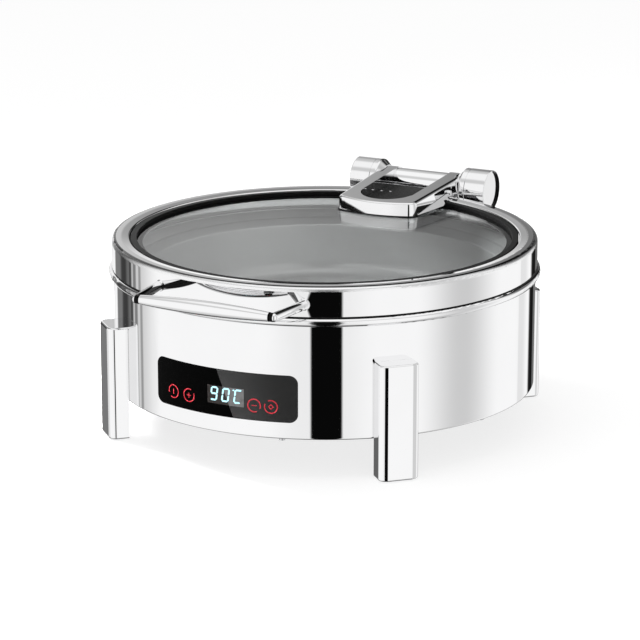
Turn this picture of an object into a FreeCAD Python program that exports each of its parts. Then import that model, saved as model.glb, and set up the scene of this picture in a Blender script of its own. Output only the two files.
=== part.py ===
"""Round electric chafing dish: a water bath on four legs, a lift-out food pan and a glass lid on a
rear barrel hinge. Millimetres. The feet stand on Z = 0 under the dish's axis, the front faces -Y."""
import FreeCAD, Part
import math
import os

V = FreeCAD.Vector
X_AXIS = V(1, 0, 0)
Y_AXIS = V(0, 1, 0)
Z_AXIS = V(0, 0, 1)

# Clearances
RUNNING = 0.05  # shaft in its bushes, on the radius
FREE = 0.3  # between pieces that move past each other
FIT = 0.2  # between a fixed piece and the cut-out that it sits in
HOLE_FIT = 0.25  # screw shank in a clearance hole, on the radius
HOLE_END = 0.5  # a blind hole past its screw's tip

# Body shell and rolled rim
BODY_R = 211.5
BODY_BASE_Z = 39.0
BODY_H = 118.7
SHEET = 1.2
BODY_FLANGE = 13.0
BEAD_H = 8.2
BEAD_PROUD = 4.75
RIM_FLANGE = 8.5
SEAL_H = 1.3
SEAL_W = 3.2

# Base plate
BASE_PLATE_T = 1.2
BASE_PLATE_INSET = 5.5
BASE_SCREW_R = 1.5
BASE_SCREW_L = 5.4
BASE_SCREW_EDGE = 3.5
BASE_SCREW_COUNT = 6
BASE_SCREW_START = 15.0
SMALL_HEAD_R = 3.0
SMALL_HEAD_H = 2.0
VENT_COUNT = 12
VENT_INSET = 46.5
VENT_L = 34.0
VENT_W = 5.0

# Legs
LEG_ANGLE = 44.6
LEG_W = 40.0
LEG_T = 18.5
LEG_H = 115.0
LEG_FACE_W = 24.6
LEG_BEVEL = 18.0
LEG_CORNER = 7.0
LEG_CREASE = 0.8
LEG_EDGE = 2.5
LEG_FLOOR_GAP = 0.8
PAD_W = 24.0
PAD_T = 9.0
PAD_H = 4.0
LEG_SCREW_R = 2.5
LEG_SCREW_L = 10.2
LEG_HEAD_R = 4.5
LEG_HEAD_H = 2.5
LEG_SCREW_DROP = 16.0
LEG_SCREW_PITCH = 38.0

# Water pan
WATER_WALL_INSET = 10.5
WATER_TAPER = 11.5
WATER_FLOOR_RISE = 33.0
WATER_FLANGE = 8.0
WATER_NECK = 1.5
WATER_CORNER = 12.0

# Food pan
PAN_SHEET = 1.0
PAN_RIM_INSET = 5.3
PAN_RIM_H = 1.8
PAN_RIM_LAND = 4.2
PAN_RIM_EDGE = 1.6
PAN_STEP_W = 12.7
PAN_LEDGE_DROP = 6.6
PAN_LEDGE_FLAT = 3.0
PAN_LEDGE_FALL = 0.6
PAN_LEDGE_BEND = 2.0
PAN_MOUTH_BEND = 3.0
PAN_LEDGE_W = 12.5
PAN_MOUTH_DROP = 12.6
PAN_TAPER = 7.0
PAN_DEPTH = 65.0
PAN_CORNER = 16.0

# Heater
PLATE_T = 4.0
PLATE_EDGE = 1.0
COIL_INSET = 35.0
ELEMENT_R = 4.2
COLD_GAP_ANGLE = 20.0
COLD_END_L = 12.0
SHIELD_INSET = 66.5
SHIELD_LAP = 15.0
SHIELD_T = 0.8
SHIELD_DROP = 14.8
SHIELD_LIP = 5.0
SHIELD_SCREW_R = 1.5
SHIELD_POST_R = 4.0
SHIELD_POST_COUNT = 4
SHIELD_POST_INSET = 25.0
SENSOR_R = 4.0
SENSOR_L = 22.0
SENSOR_OFFSET = 20.0
SADDLE_W = 10.0
CUTOUT_R = 8.0
CUTOUT_H = 7.0
CUTOUT_ANGLE = -110.0
CUTOUT_TAB_R = 2.0
CUTOUT_TAB_L = 5.0

# Control panel
PANEL_TURN = -1.7
PANEL_HALF_ANGLE = 21.3
PANEL_RISE = 16.8
PANEL_H = 46.3
PANEL_CORNER = 8.0
GLASS_T = 2.4
PANEL_PROUD = 0.5
CARRIER_T = 2.0
CARRIER_LAP = 6.0
WINDOW_W = 39.5
WINDOW_H = 17.8
WINDOW_DROP = 2.65
KEY_ANGLES = (-16.7, -11.3, 8.1, 12.6)
KEY_GAPS = (215.0, 45.0, -45.0, 135.0)
KEY_DROP = 5.7
KEY_R = 6.8
KEY_LINE = 1.0
KEY_GAP = 40.0
KEY_MARK = 5.0
INK_T = 0.15
BOARD_W = 116.0
BOARD_H = 34.0
BOARD_T = 1.6
BOARD_GAP = 0.23
BOARD_EDGE = 2.4
BOARD_POST_R = 2.2
TOUCH_PAD_R = 3.8
DISPLAY_MARGIN = 1.5
DISPLAY_STANDOFF = 0.8

# Power electronics
POWER_BOARD_W = 96.0
POWER_BOARD_D = 30.0
POWER_BOARD_INSET = 46.5
POWER_POST_H = 6.0
RELAY_W = 20.0
RELAY_D = 16.0
RELAY_H = 15.0
TRANSFORMER_W = 26.0
TRANSFORMER_D = 18.0
TRANSFORMER_H = 14.0
CASE_EDGE = 1.0

# Power inlet
INLET_RISE = 15.0
INLET_W = 27.0
INLET_H = 19.5
INLET_WALL = 1.7
INLET_DEPTH = 24.0
INLET_CAVITY = 19.0
INLET_EAR_W = 50.0
INLET_EAR_T = 4.0
INLET_EAR_MARGIN = 2.0
INLET_EAR_CORNER = 4.0
INLET_SCREW_PITCH = 40.0
INLET_SCREW_R = 1.6
INLET_SCREW_L = 10.0
PIN_L = 11.0
PIN_TAIL = 5.0
PIN_W = 2.0
PIN_H = 4.0
PIN_PITCH = 7.0
PIN_STEP = 2.0

# Leads
LEAD_R = 1.4
MAINS_RUN = 8.5
HEATER_LEAD_BACK = 2.0
HEATER_LEAD_OUT = 2.5
HEATER_LEAD_FALL = 9.0
SIGNAL_R = 1.6
SIGNAL_RUN = 10.0
SIGNAL_FIRST = 150.0
SIGNAL_LAST = 20.0
SIGNAL_SIDE = 12.0
SIGNAL_BEHIND = 8.0
SIGNAL_CLIMB = 10.0
SIGNAL_INSET = 21.5
SIGNAL_STEPS = 8

# Lid frame and glass
LID_PROUD = 1.5
LID_GAP = 1.6
LID_H = 28.7
LID_SHOULDER = 5.0
LID_SHEET = 1.2
RING_FLAT_W = 10.0
RING_FALL_W = 8.0
RING_FALL_BEND = 12.0
RING_DIP = 1.1
SEAT_W = 13.0
SEAT_DROP = 11.2
GLASS_MARGIN = 4.2
LID_GLASS_T = 4.5
GASKET_T = 1.5
GASKET_LAP = 3.3
GASKET_TOP_DROP = 1.5
GASKET_EDGE = 0.5

# Front handle
HANDLE_Z_DROP = 16.7
HANDLE_REACH = 38.0
GRIP_HALF = 69.6
GRIP_MID_R = 7.3
GRIP_END_R = 4.6
GRIP_NECK_R = 3.4
GRIP_NECK_L = 1.4
ARM_SPREAD_ANGLE = 21.2
HANDLE_ARM_R = 4.4
HANDLE_ARM_FOOT_R = 4.8
HANDLE_KNEE = 3.0
HANDLE_FOOT_R = 5.8
HANDLE_FOOT_T = 1.8
HANDLE_SCREW_R = 2.2
HANDLE_SCREW_L = 10.0
HANDLE_HEAD_R = 4.5
HANDLE_HEAD_H = 2.5

# Rear hinge, fixed pieces
HINGE_SETBACK = 27.0
HINGE_RISE = 0.8
HOUSING_R = 22.2
HOUSING_CONE_R = 16.2
HOUSING_CONE_L = 6.5
HOUSING_L = 31.0
HOUSING_GAP = 0.6
HOUSING_BORE_R = 17.0
HOUSING_WEB = 7.0
HOUSING_GROOVE = 0.6
HOUSING_GROOVE_W = 0.8
HOUSING_GROOVE_IN = 6.0
HOUSING_EDGE = 1.2
HOUSING_SHOULDER = 3.0
CAP_T = 4.6
CAP_EDGE = 0.7
CAP_LIP = 1.3
CAP_DISH = 2.3
CAP_DISH_CORNER = 0.5
CAP_SPIGOT = 5.0
SHAFT_R = 6.0
SHAFT_END = 1.0
SHAFT_CHAMFER = 0.6
STAND_W = 16.0
STAND_D = 20.0
STAND_ARM_H = 26.0
STAND_PAD_W = 38.0
STAND_PAD_H = 44.0
STAND_PAD_T = 3.5
STAND_PAD_CORNER = 5.0
STAND_CROOK = 3.0
STAND_PAD_DROP = 37.7
STAND_SHIFT = 3.0
STAND_SCREW_R = 2.5
STAND_SCREW_L = 10.7
STAND_SCREW_SIDE = 5.0
STAND_SCREW_END = 7.0
STAND_HEAD_R = 4.2
STAND_HEAD_H = 2.6
STAND_NUT_R = 4.2
STAND_NUT_T = 3.5

# Rear hinge, turning pieces
ARM_EYE_R = 15.7
ARM_EYE_STEP = 0.5
ARM_EYE_W = 11.5
SLEEVE_R = 14.5
SLEEVE_WALL = 2.0
SLEEVE_GAP = 4.0
BUSH_WALL = 2.0
BUSH_FLANGE_T = 0.5
BUSH_FLANGE_LAP = 3.0
ROTOR_HUB_R = 9.0
ROTOR_R = 15.5
ROTOR_VANE_L = 16.0
ROTOR_VANE_T = 4.0
ROTOR_CORE = 2.5
SPRING_WIRE_R = 1.2
SPRING_R = 9.6
SPRING_TURNS = 9
SPRING_PITCH = 3.2
ANCHOR_W = 9.0

# U-shaped arm on the lid
ARM_HALF_W = 44.5
ARM_SPREAD = 0.045
ARM_REACH = 105.0
ARM_FRONT_BOW = 6.0
ARM_CORNER = 11.0
ARM_FRONT_TOP = 8.7
ARM_EDGE = 3.2
ARM_DRAFT = 8.0
ARM_FLARE = 6.0
ARM_FLARE_RISE = 9.0
ARM_FLARE_INSET = 24.0
ARM_SIDE_W = 15.0
ARM_MOUTH_SPREAD = 1.5
ARM_FRONT_LAND = 13.0
ARM_MOUTH_DEPTH = 31.0
ARM_PAD_T = 1.2
ARM_OVER_RING = 0.4
BACKING_T = 2.5
BACKING_RUBBER_T = 1.0
BACKING_CORNER = 6.0
BACKING_MARGIN = 1.5
ARM_SCREW_R = 2.5
ARM_SCREW_HEAD_R = 4.6
ARM_SCREW_HEAD_H = 2.8
ARM_SCREW_BITE = 6.5
ARM_SCREW_SIDE = 7.5
ARM_SCREW_END = 19.0
SIDE_PIN_R = 2.6
SIDE_PIN_INSET = 16.0
SIDE_PIN_DEPTH = 6.0
SIDE_PIN_PROUD = 3.0

# Radii that follow from the sizes
BODY_IN_R = BODY_R - SHEET
BASE_PLATE_R = BODY_R - BASE_PLATE_INSET
VENT_R = BODY_R - VENT_INSET
LEG_CENTRE_R = BODY_R + LEG_T / 2
WATER_TOP_R = BODY_R - WATER_WALL_INSET
WATER_FLOOR_R = WATER_TOP_R - WATER_TAPER
PAN_RIM_R = BODY_R - PAN_RIM_INSET
PAN_LEDGE_R = PAN_RIM_R - PAN_STEP_W
PAN_MOUTH_R = PAN_LEDGE_R - PAN_LEDGE_W
PAN_FLOOR_R = PAN_MOUTH_R - PAN_TAPER
SHIELD_R = BODY_R - SHIELD_INSET
SHIELD_POST_RING_R = SHIELD_R - SHIELD_POST_INSET
PLATE_R = SHIELD_R - SHIELD_LAP
COIL_R = PLATE_R - COIL_INSET
SENSOR_RING_R = PLATE_R + SENSOR_OFFSET
PANEL_OUT_R = BODY_R + PANEL_PROUD
PANEL_IN_R = PANEL_OUT_R - GLASS_T
CARRIER_IN_R = PANEL_IN_R - CARRIER_T
BOARD_Y = math.sqrt(CARRIER_IN_R**2 - (BOARD_W / 2) ** 2) - BOARD_T - BOARD_GAP
BOARD_INSET = BODY_R - BOARD_Y
POWER_BOARD_Y = BODY_R - POWER_BOARD_INSET
SIGNAL_RING_R = BODY_R - SIGNAL_INSET
LID_R = BODY_R + LID_PROUD
RING_FLAT_R = LID_R - RING_FLAT_W
RING_INNER_R = RING_FLAT_R - RING_FALL_W
SEAT_INNER_R = RING_INNER_R - SEAT_W
GLASS_R = RING_INNER_R - GLASS_MARGIN
GASKET_LIP_R = GLASS_R - GASKET_LAP

# Heights that follow from the sizes
BODY_TOP_Z = BODY_BASE_Z + BODY_H
RIM_TOP_Z = BODY_TOP_Z + SHEET
LID_BOTTOM_Z = RIM_TOP_Z + LID_GAP
LID_TOP_Z = LID_BOTTOM_Z + LID_H
SEAT_TOP_Z = LID_TOP_Z - SEAT_DROP
GLASS_BOTTOM_Z = SEAT_TOP_Z + GASKET_T
GLASS_TOP_Z = GLASS_BOTTOM_Z + LID_GLASS_T
WATER_TOP_Z = RIM_TOP_Z + SHEET
WATER_FLOOR_Z = BODY_BASE_Z + WATER_FLOOR_RISE
WATER_UNDER_Z = WATER_FLOOR_Z - SHEET
PAN_BOTTOM_EDGE_Z = WATER_TOP_Z + FREE
PAN_TOP_Z = PAN_BOTTOM_EDGE_Z + PAN_RIM_H
PLATE_BOTTOM_Z = WATER_UNDER_Z - PLATE_T
SHIELD_Z = PLATE_BOTTOM_Z - SHIELD_DROP
PANEL_Z0 = BODY_BASE_Z + PANEL_RISE
PANEL_MID_Z = PANEL_Z0 + PANEL_H / 2
WINDOW_Z = PANEL_MID_Z - WINDOW_DROP
KEY_Z = WINDOW_Z - KEY_DROP
POWER_BOARD_Z = BODY_BASE_Z + POWER_POST_H
POWER_TOP_Z = POWER_BOARD_Z + BOARD_T
INLET_Z = BODY_BASE_Z + INLET_RISE
STAND_PAD_Z = BODY_TOP_Z - STAND_PAD_DROP
HINGE_Z = LID_TOP_Z + HINGE_RISE
ARM_BASE_Z = GLASS_TOP_Z + ARM_PAD_T

# Places along the arm, the barrel and the shaft that follow from the sizes
HINGE_Y = LID_R + HINGE_SETBACK
ARM_FRONT_Y = LID_R - ARM_REACH
ARM_FLARE_REAR_Y = LID_R - ARM_FLARE_INSET
ARM_MOUTH_Y = ARM_FRONT_Y + ARM_FRONT_LAND
ARM_MOUTH_HALF_W = ARM_HALF_W - ARM_SIDE_W
ARM_SCREW_X = ARM_HALF_W - ARM_SCREW_SIDE
ARM_SCREW_FRONT_Y = ARM_FRONT_Y + ARM_SCREW_END
ARM_SCREW_REAR_Y = ARM_FLARE_REAR_Y - ARM_SCREW_END
SIDE_PIN_Y = LID_R - SIDE_PIN_INSET
ARM_EYE_IN = ARM_MOUTH_HALF_W + ARM_EYE_STEP
ARM_EYE_OUT = ARM_EYE_IN + ARM_EYE_W
HOUSING_IN = ARM_EYE_OUT + HOUSING_GAP + BUSH_FLANGE_T
HOUSING_OUT = HOUSING_IN + HOUSING_L
STAND_X = HOUSING_IN + HOUSING_CONE_L + STAND_W / 2 + STAND_SHIFT
BUSH_OUT_R = SHAFT_R + RUNNING + BUSH_WALL


def save(shape, name):
    """Write one piece to its own file."""
    shape.exportStep("parts/" + name + ".step")
    print(name, len(shape.Solids), round(shape.Volume, 1))


def box(x0, x1, y0, y1, z0, z1):
    return Part.makeBox(x1 - x0, y1 - y0, z1 - z0, V(x0, y0, z0))


def rod(r, start, direction, length):
    return Part.makeCylinder(r, length, start, direction)


def ring(r_out, r_in, z0, z1):
    """Plain ring about the dish's axis."""
    outer = rod(r_out, V(0, 0, z0), Z_AXIS, z1 - z0)
    return outer.cut(rod(r_in, V(0, 0, z0 - 1), Z_AXIS, z1 - z0 + 2))


def fuse(shapes):
    """Join shapes into one solid."""
    joined = shapes[0].fuse(shapes[1:])
    return joined.removeSplitter()


def turned(shape, angle, centre=V(0, 0, 0), axis=Z_AXIS):
    copy = shape.copy()
    copy.rotate(centre, axis, angle)
    return copy


def mirrored_x(shape):
    return shape.mirror(V(0, 0, 0), X_AXIS)


def corner_wire(corners):
    """Closed wire through corners (point, radius), each corner rounded by a tangent arc."""
    count = len(corners)
    starts = []
    ends = []
    mids = []
    for i in range(count):
        point, radius = corners[i]
        before = corners[i - 1][0]
        after = corners[(i + 1) % count][0]
        way_in = (point - before).normalize()
        way_out = (after - point).normalize()
        turn = way_in.getAngle(way_out)
        if radius <= 0 or turn < 1e-6:
            starts.append(point)
            ends.append(point)
            mids.append(None)
            continue
        run = radius * math.tan(turn / 2)
        starts.append(point - way_in * run)
        ends.append(point + way_out * run)
        inward = (way_out - way_in).normalize()
        mids.append(point + inward * (radius / math.cos(turn / 2) - radius))
    edges = []
    for i in range(count):
        if mids[i] is not None:
            edges.append(Part.Arc(starts[i], mids[i], ends[i]).toShape())
        after = starts[(i + 1) % count]
        if ends[i].distanceToPoint(after) > 1e-6:
            edges.append(Part.LineSegment(ends[i], after).toShape())
    return Part.Wire(edges)


def spun(profile):
    """Solid of revolution from corners (r, z, radius) of a closed profile."""
    wire = corner_wire([(V(r, 0, z), radius) for r, z, radius in profile])
    return Part.Face(wire).revolve(V(0, 0, 0), Z_AXIS, 360)


def thickened(path, thickness):
    """Closed sheet profile: the path (r, z, radius) and its copy offset to the left by the thickness."""
    points = [V(r, 0, z) for r, z, _ in path]
    ways = [(b - a).normalize() for a, b in zip(points, points[1:])]
    sides = [V(-way.z, 0, way.x) for way in ways]
    offset = [(points[0] + sides[0] * thickness, 0.0)]
    for i in range(1, len(points) - 1):
        half = (sides[i - 1] + sides[i]).normalize()
        reach = thickness / half.dot(sides[i])
        left_turn = ways[i - 1].x * ways[i].z - ways[i - 1].z * ways[i].x > 0
        radius = path[i][2]
        inner = radius - thickness if left_turn else radius + thickness
        offset.append((points[i] + half * reach, max(inner, 0.0) if radius > 0 else 0.0))
    offset.append((points[-1] + sides[-1] * thickness, 0.0))
    back = [(p.x, p.z, radius) for p, radius in reversed(offset)]
    return list(path) + back


def radial(angle, r, z):
    """Point at a radius and height, its angle counted from the front towards +X."""
    a = math.radians(angle)
    return V(r * math.sin(a), -r * math.cos(a), z)


def outward(angle):
    return radial(angle, 1.0, 0.0)


def screw(r, length, head_r, head_h, head_base, direction):
    """Screw with a round head: the shank runs from the head's base along the direction."""
    shank = rod(r, head_base, direction, length)
    head = rod(head_r, head_base - direction * head_h, direction, head_h)
    return fuse([shank, head])


# Body shell

def leg_angles():
    return [LEG_ANGLE, 180 - LEG_ANGLE, 180 + LEG_ANGLE, -LEG_ANGLE]


def leg_screw_points():
    """Screw axes of the four legs: (angle, height)."""
    top = LEG_H - LEG_SCREW_DROP
    return [(a, z) for a in leg_angles() for z in (top, top - LEG_SCREW_PITCH)]


def stand_screw_points():
    """Screw axes of the two hinge stands: (angle, height)."""
    points = []
    for side in (1, -1):
        for across in (-1, 1):
            x = side * STAND_X + across * (STAND_PAD_W / 2 - STAND_SCREW_SIDE)
            angle = 180 - math.degrees(math.asin(x / BODY_R))
            for up in (-1, 1):
                points.append((angle, STAND_PAD_Z + up * (STAND_PAD_H / 2 - STAND_SCREW_END)))
    return points


def base_screw_points(z):
    step = 360.0 / BASE_SCREW_COUNT
    r = BASE_PLATE_R - BASE_SCREW_EDGE
    return [radial(BASE_SCREW_START + i * step, r, z) for i in range(BASE_SCREW_COUNT)]


def shell_hole(r, angle, z):
    """Drill through the shell's wall, square to it."""
    return rod(r, radial(angle, BODY_IN_R - SHEET, z), outward(angle), 3 * SHEET)


def across(shape_r, z):
    """Full disc about the dish's axis, taller than the dish, to cut or keep by radius."""
    return rod(shape_r, V(0, 0, z), Z_AXIS, LID_TOP_Z)


def panel_block(margin, r_in, r_out):
    """Curved plate behind the panel's outline, grown by a margin, between two radii."""
    half = BODY_R * math.sin(math.radians(PANEL_HALF_ANGLE)) + margin
    z0 = PANEL_Z0 - margin
    z1 = PANEL_Z0 + PANEL_H + margin
    corner = PANEL_CORNER + margin
    outline = [V(-half, 0, z0), V(half, 0, z0), V(half, 0, z1), V(-half, 0, z1)]
    face = Part.Face(corner_wire([(p, corner) for p in outline]))
    prism = turned(face.extrude(V(0, -r_out - margin - SHEET, 0)), PANEL_TURN)
    return prism.common(ring(r_out, r_in, z0 - 1, z1 + 1))


def body_shell():
    path = [
        (BODY_R - BODY_FLANGE, BODY_BASE_Z, 0),
        (BODY_R, BODY_BASE_Z, 1.7 * SHEET),
        (BODY_R, BODY_TOP_Z, 0),
    ]
    shell = spun(thickened(path, SHEET))
    cuts = [panel_block(FIT, BODY_IN_R - SHEET, BODY_R + SHEET)]
    cuts += [shell_hole(LEG_SCREW_R + HOLE_FIT, angle, z) for angle, z in leg_screw_points()]
    cuts += [shell_hole(STAND_SCREW_R + HOLE_FIT, angle, z) for angle, z in stand_screw_points()]
    inside = BODY_R - INLET_DEPTH
    for side in (-1, 1):
        at = V(side * INLET_SCREW_PITCH / 2, inside, INLET_Z)
        cuts.append(rod(INLET_SCREW_R + HOLE_FIT, at, Y_AXIS, 2 * INLET_DEPTH))
    half_w = INLET_W / 2 + FIT
    half_h = INLET_H / 2 + FIT
    cuts.append(box(-half_w, half_w, inside, BODY_R + SHEET, INLET_Z - half_h, INLET_Z + half_h))
    for at in base_screw_points(BODY_BASE_Z - SHEET):
        cuts.append(rod(BASE_SCREW_R + HOLE_FIT, at, Z_AXIS, 3 * SHEET))
    return shell.cut(cuts)


def rim_ring():
    bead = BEAD_H / 2 - 0.01
    path = [
        (BODY_R - RIM_FLANGE, RIM_TOP_Z, 0),
        (BODY_R + BEAD_PROUD, RIM_TOP_Z, bead),
        (BODY_R + BEAD_PROUD, RIM_TOP_Z - BEAD_H, bead),
        (BODY_R + 0.1, RIM_TOP_Z - BEAD_H, 0),
    ]
    return spun(thickened(path, -SHEET))


def rim_seal():
    r_out = LID_R - FIT
    return ring(r_out, r_out - SEAL_W, RIM_TOP_Z, RIM_TOP_Z + SEAL_H)


def base_plate():
    top = BODY_BASE_Z
    plate = rod(BASE_PLATE_R, V(0, 0, top - BASE_PLATE_T), Z_AXIS, BASE_PLATE_T)
    low = top - 2 * BASE_PLATE_T
    high = top + BASE_PLATE_T
    slot = box(-VENT_W / 2, VENT_W / 2, VENT_R - VENT_L / 2, VENT_R + VENT_L / 2, low, high)
    cuts = []
    for i in range(VENT_COUNT):
        angle = (i + 0.5) * 360.0 / VENT_COUNT
        if abs(math.sin(math.radians(angle))) > 0.6:
            cuts.append(turned(slot, angle))
    for at in base_screw_points(low):
        cuts.append(rod(BASE_SCREW_R + HOLE_FIT, at, Z_AXIS, high - low))
    return plate.cut(cuts)


def base_screws():
    made = []
    for at in base_screw_points(BODY_BASE_Z - BASE_PLATE_T):
        made.append(screw(BASE_SCREW_R, BASE_SCREW_L, SMALL_HEAD_R, SMALL_HEAD_H, at, Z_AXIS))
    return Part.makeCompound(made)


# Legs and feet

def leg():
    """Front right block leg: a bar with bevelled, rounded sides, hollowed to sit on the shell."""
    half_w = LEG_W / 2
    back = BODY_IN_R - SHEET
    front = BODY_R + LEG_T
    half_face = LEG_FACE_W / 2
    bevel_end = (half_w - half_face) * math.tan(math.radians(LEG_BEVEL))
    outline = [
        (V(-half_w, -back, LEG_FLOOR_GAP), 0),
        (V(half_w, -back, LEG_FLOOR_GAP), 0),
        (V(half_w, bevel_end - front, LEG_FLOOR_GAP), LEG_CORNER),
        (V(half_face, -front, LEG_FLOOR_GAP), LEG_CREASE),
        (V(-half_face, -front, LEG_FLOOR_GAP), LEG_CREASE),
        (V(-half_w, bevel_end - front, LEG_FLOOR_GAP), LEG_CORNER),
    ]
    bar = Part.Face(corner_wire(outline)).extrude(V(0, 0, LEG_H - LEG_FLOOR_GAP))
    bar = bar.cut(across(BODY_R, 0))
    ends = []
    for edge in bar.Edges:
        low = abs(edge.BoundBox.ZMax - LEG_FLOOR_GAP) < 1e-3
        high = abs(edge.BoundBox.ZMin - LEG_H) < 1e-3
        at_back = edge.BoundBox.YMin > -BODY_R - 0.5
        if (low or high) and not at_back:
            ends.append(edge)
    bar = bar.makeFillet(LEG_EDGE, ends)
    socket = pad_block(PAD_W + 2 * FIT, PAD_T + 2 * FIT, LEG_FLOOR_GAP - 1, PAD_H)
    cuts = [socket]
    for drop in (0, LEG_SCREW_PITCH):
        at = V(0, -BODY_IN_R, LEG_H - LEG_SCREW_DROP - drop)
        cuts.append(rod(LEG_SCREW_R, at, -Y_AXIS, LEG_SCREW_L + HOLE_END))
    return bar.cut(cuts)


def pad_block(width, depth, z0, z1):
    centre = -LEG_CENTRE_R
    return box(-width / 2, width / 2, centre - depth / 2, centre + depth / 2, z0, z1)


def foot_pads():
    pad = pad_block(PAD_W, PAD_T, 0, PAD_H)
    return Part.makeCompound([turned(pad, angle) for angle in leg_angles()])


def leg_screws():
    made = []
    for angle, z in leg_screw_points():
        way = outward(angle)
        at = radial(angle, BODY_IN_R - FIT / 2, z)
        made.append(screw(LEG_SCREW_R, LEG_SCREW_L, LEG_HEAD_R, LEG_HEAD_H, at, way))
    return Part.makeCompound(made)


# Water bath and heater

def water_pan():
    path = [
        (WATER_TOP_R + WATER_FLANGE, WATER_TOP_Z, 0),
        (WATER_TOP_R, WATER_TOP_Z, WATER_NECK),
        (WATER_FLOOR_R, WATER_FLOOR_Z, WATER_CORNER),
        (0, WATER_FLOOR_Z, 0),
    ]
    return spun(thickened(path, SHEET))


def heat_plate():
    plate = rod(PLATE_R, V(0, 0, PLATE_BOTTOM_Z), Z_AXIS, PLATE_T)
    return plate.makeFillet(PLATE_EDGE, [e for e in plate.Edges if e.Length > PLATE_R])


def heating_element():
    """Tubular element bent to an open ring, with its two cold ends turned down."""
    z = PLATE_BOTTOM_Z - ELEMENT_R
    sweep = 360 - COLD_GAP_ANGLE
    ring_part = Part.makeTorus(COIL_R, ELEMENT_R, V(0, 0, z), Z_AXIS, 0, 360, sweep)
    ring_part = turned(ring_part, 90 + COLD_GAP_ANGLE / 2)
    ends = []
    for side in (-1, 1):
        angle = 180 + side * COLD_GAP_ANGLE / 2
        knee = radial(angle, COIL_R, z)
        ends.append(Part.makeSphere(ELEMENT_R, knee))
        ends.append(rod(ELEMENT_R * 0.8, knee, outward(angle), COLD_END_L + ELEMENT_R))
    return fuse([ring_part] + ends)


def heat_shield():
    path = [
        (SHIELD_R, SHIELD_Z + SHIELD_LIP, 0),
        (SHIELD_R, SHIELD_Z, 2.0),
        (0, SHIELD_Z, 0),
    ]
    shield = spun(thickened(path, -SHIELD_T))
    low = SHIELD_Z - SHIELD_T
    holes = [rod(SHIELD_SCREW_R + HOLE_FIT, at, Z_AXIS, SHIELD_LIP) for at in shield_post_points(low)]
    return shield.cut(holes)


def shield_post_points(z):
    step = 360.0 / SHIELD_POST_COUNT
    return [radial(45 + i * step, SHIELD_POST_RING_R, z) for i in range(SHIELD_POST_COUNT)]


def shield_posts():
    """Spacers under the shield, each with a screw and its head above."""
    made = []
    height = SHIELD_Z - BODY_BASE_Z
    for at in shield_post_points(BODY_BASE_Z):
        spacer = rod(SHIELD_POST_R, at, Z_AXIS, height)
        stem = rod(SHIELD_SCREW_R, at, Z_AXIS, height + SHIELD_T + SMALL_HEAD_H)
        head = rod(SMALL_HEAD_R, at + V(0, 0, height + SHIELD_T), Z_AXIS, SMALL_HEAD_H)
        made.append(fuse([spacer, stem, head]))
    return Part.makeCompound(made)


def temperature_sensor():
    """Sensing bulb in a saddle, held against the underside of the water pan."""
    z = WATER_UNDER_Z - SENSOR_R
    bulb = rod(SENSOR_R, V(-SENSOR_L / 2, -SENSOR_RING_R, z), X_AXIS, SENSOR_L)
    half = SENSOR_L / 3
    near = -SENSOR_RING_R - SENSOR_R / 2
    saddle = box(-half, half, near, near + SADDLE_W, z, z + SENSOR_R)
    return fuse([bulb, saddle])


def thermal_cutout():
    at = radial(CUTOUT_ANGLE, SENSOR_RING_R, WATER_UNDER_Z - CUTOUT_H)
    body = rod(CUTOUT_R, at, Z_AXIS, CUTOUT_H)
    tab = rod(CUTOUT_TAB_R, at - V(0, 0, CUTOUT_TAB_L), Z_AXIS, CUTOUT_TAB_L)
    tabs = [tab.translated(V(side * CUTOUT_R / 2, 0, 0)) for side in (-1, 1)]
    return fuse([body] + tabs)


# Control panel

def panel_glass():
    return panel_block(0, PANEL_IN_R, PANEL_OUT_R)


def key_prism(angle, r, r_from, length):
    return rod(r, radial(angle, r_from, KEY_Z), outward(angle), length)


def panel_carrier():
    """Moulded tray behind the glass: it laps the shell's inner face and carries the board."""
    lap = panel_block(CARRIER_LAP, CARRIER_IN_R, BODY_IN_R)
    seat = panel_block(FIT, PANEL_IN_R, BODY_R)
    window = box(
        -WINDOW_W / 2 - DISPLAY_MARGIN - FIT,
        WINDOW_W / 2 + DISPLAY_MARGIN + FIT,
        -PANEL_OUT_R,
        -BOARD_Y,
        WINDOW_Z - WINDOW_H / 2 - DISPLAY_MARGIN - FIT,
        WINDOW_Z + WINDOW_H / 2 + DISPLAY_MARGIN + FIT,
    )
    holes = [key_prism(a, TOUCH_PAD_R + FIT, BOARD_Y, BOARD_INSET) for a in KEY_ANGLES]
    return lap.cut([seat, window] + holes)


def board_box(x0, x1, y0, y1, z0, z1):
    """Box square to the panel's middle; y counts outwards from the dish's axis."""
    return turned(box(x0, x1, -y1, -y0, z0, z1), PANEL_TURN)


def control_board():
    z0 = PANEL_MID_Z - BOARD_H / 2
    return board_box(-BOARD_W / 2, BOARD_W / 2, BOARD_Y, BOARD_Y + BOARD_T, z0, z0 + BOARD_H)


def board_posts():
    """Posts behind the control board, and the feet that hold the power board off the base."""
    made = []
    for sx in (-1, 1):
        for sz in (-1, 1):
            x = sx * (BOARD_W / 2 - BOARD_EDGE)
            z = PANEL_MID_Z + sz * (BOARD_H / 2 - BOARD_EDGE)
            post = rod(BOARD_POST_R, V(x, -BOARD_Y - BOARD_T, z), -Y_AXIS, BOARD_INSET)
            post = turned(post, PANEL_TURN)
            made.append(post.common(across(CARRIER_IN_R, 0)))
    for sx in (-1, 1):
        for sy in (-1, 1):
            x = sx * (POWER_BOARD_W / 2 - BOARD_EDGE)
            y = POWER_BOARD_Y + sy * (POWER_BOARD_D / 2 - BOARD_EDGE)
            made.append(rod(BOARD_POST_R, V(x, y, BODY_BASE_Z), Z_AXIS, POWER_POST_H))
    return Part.makeCompound(made)


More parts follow.
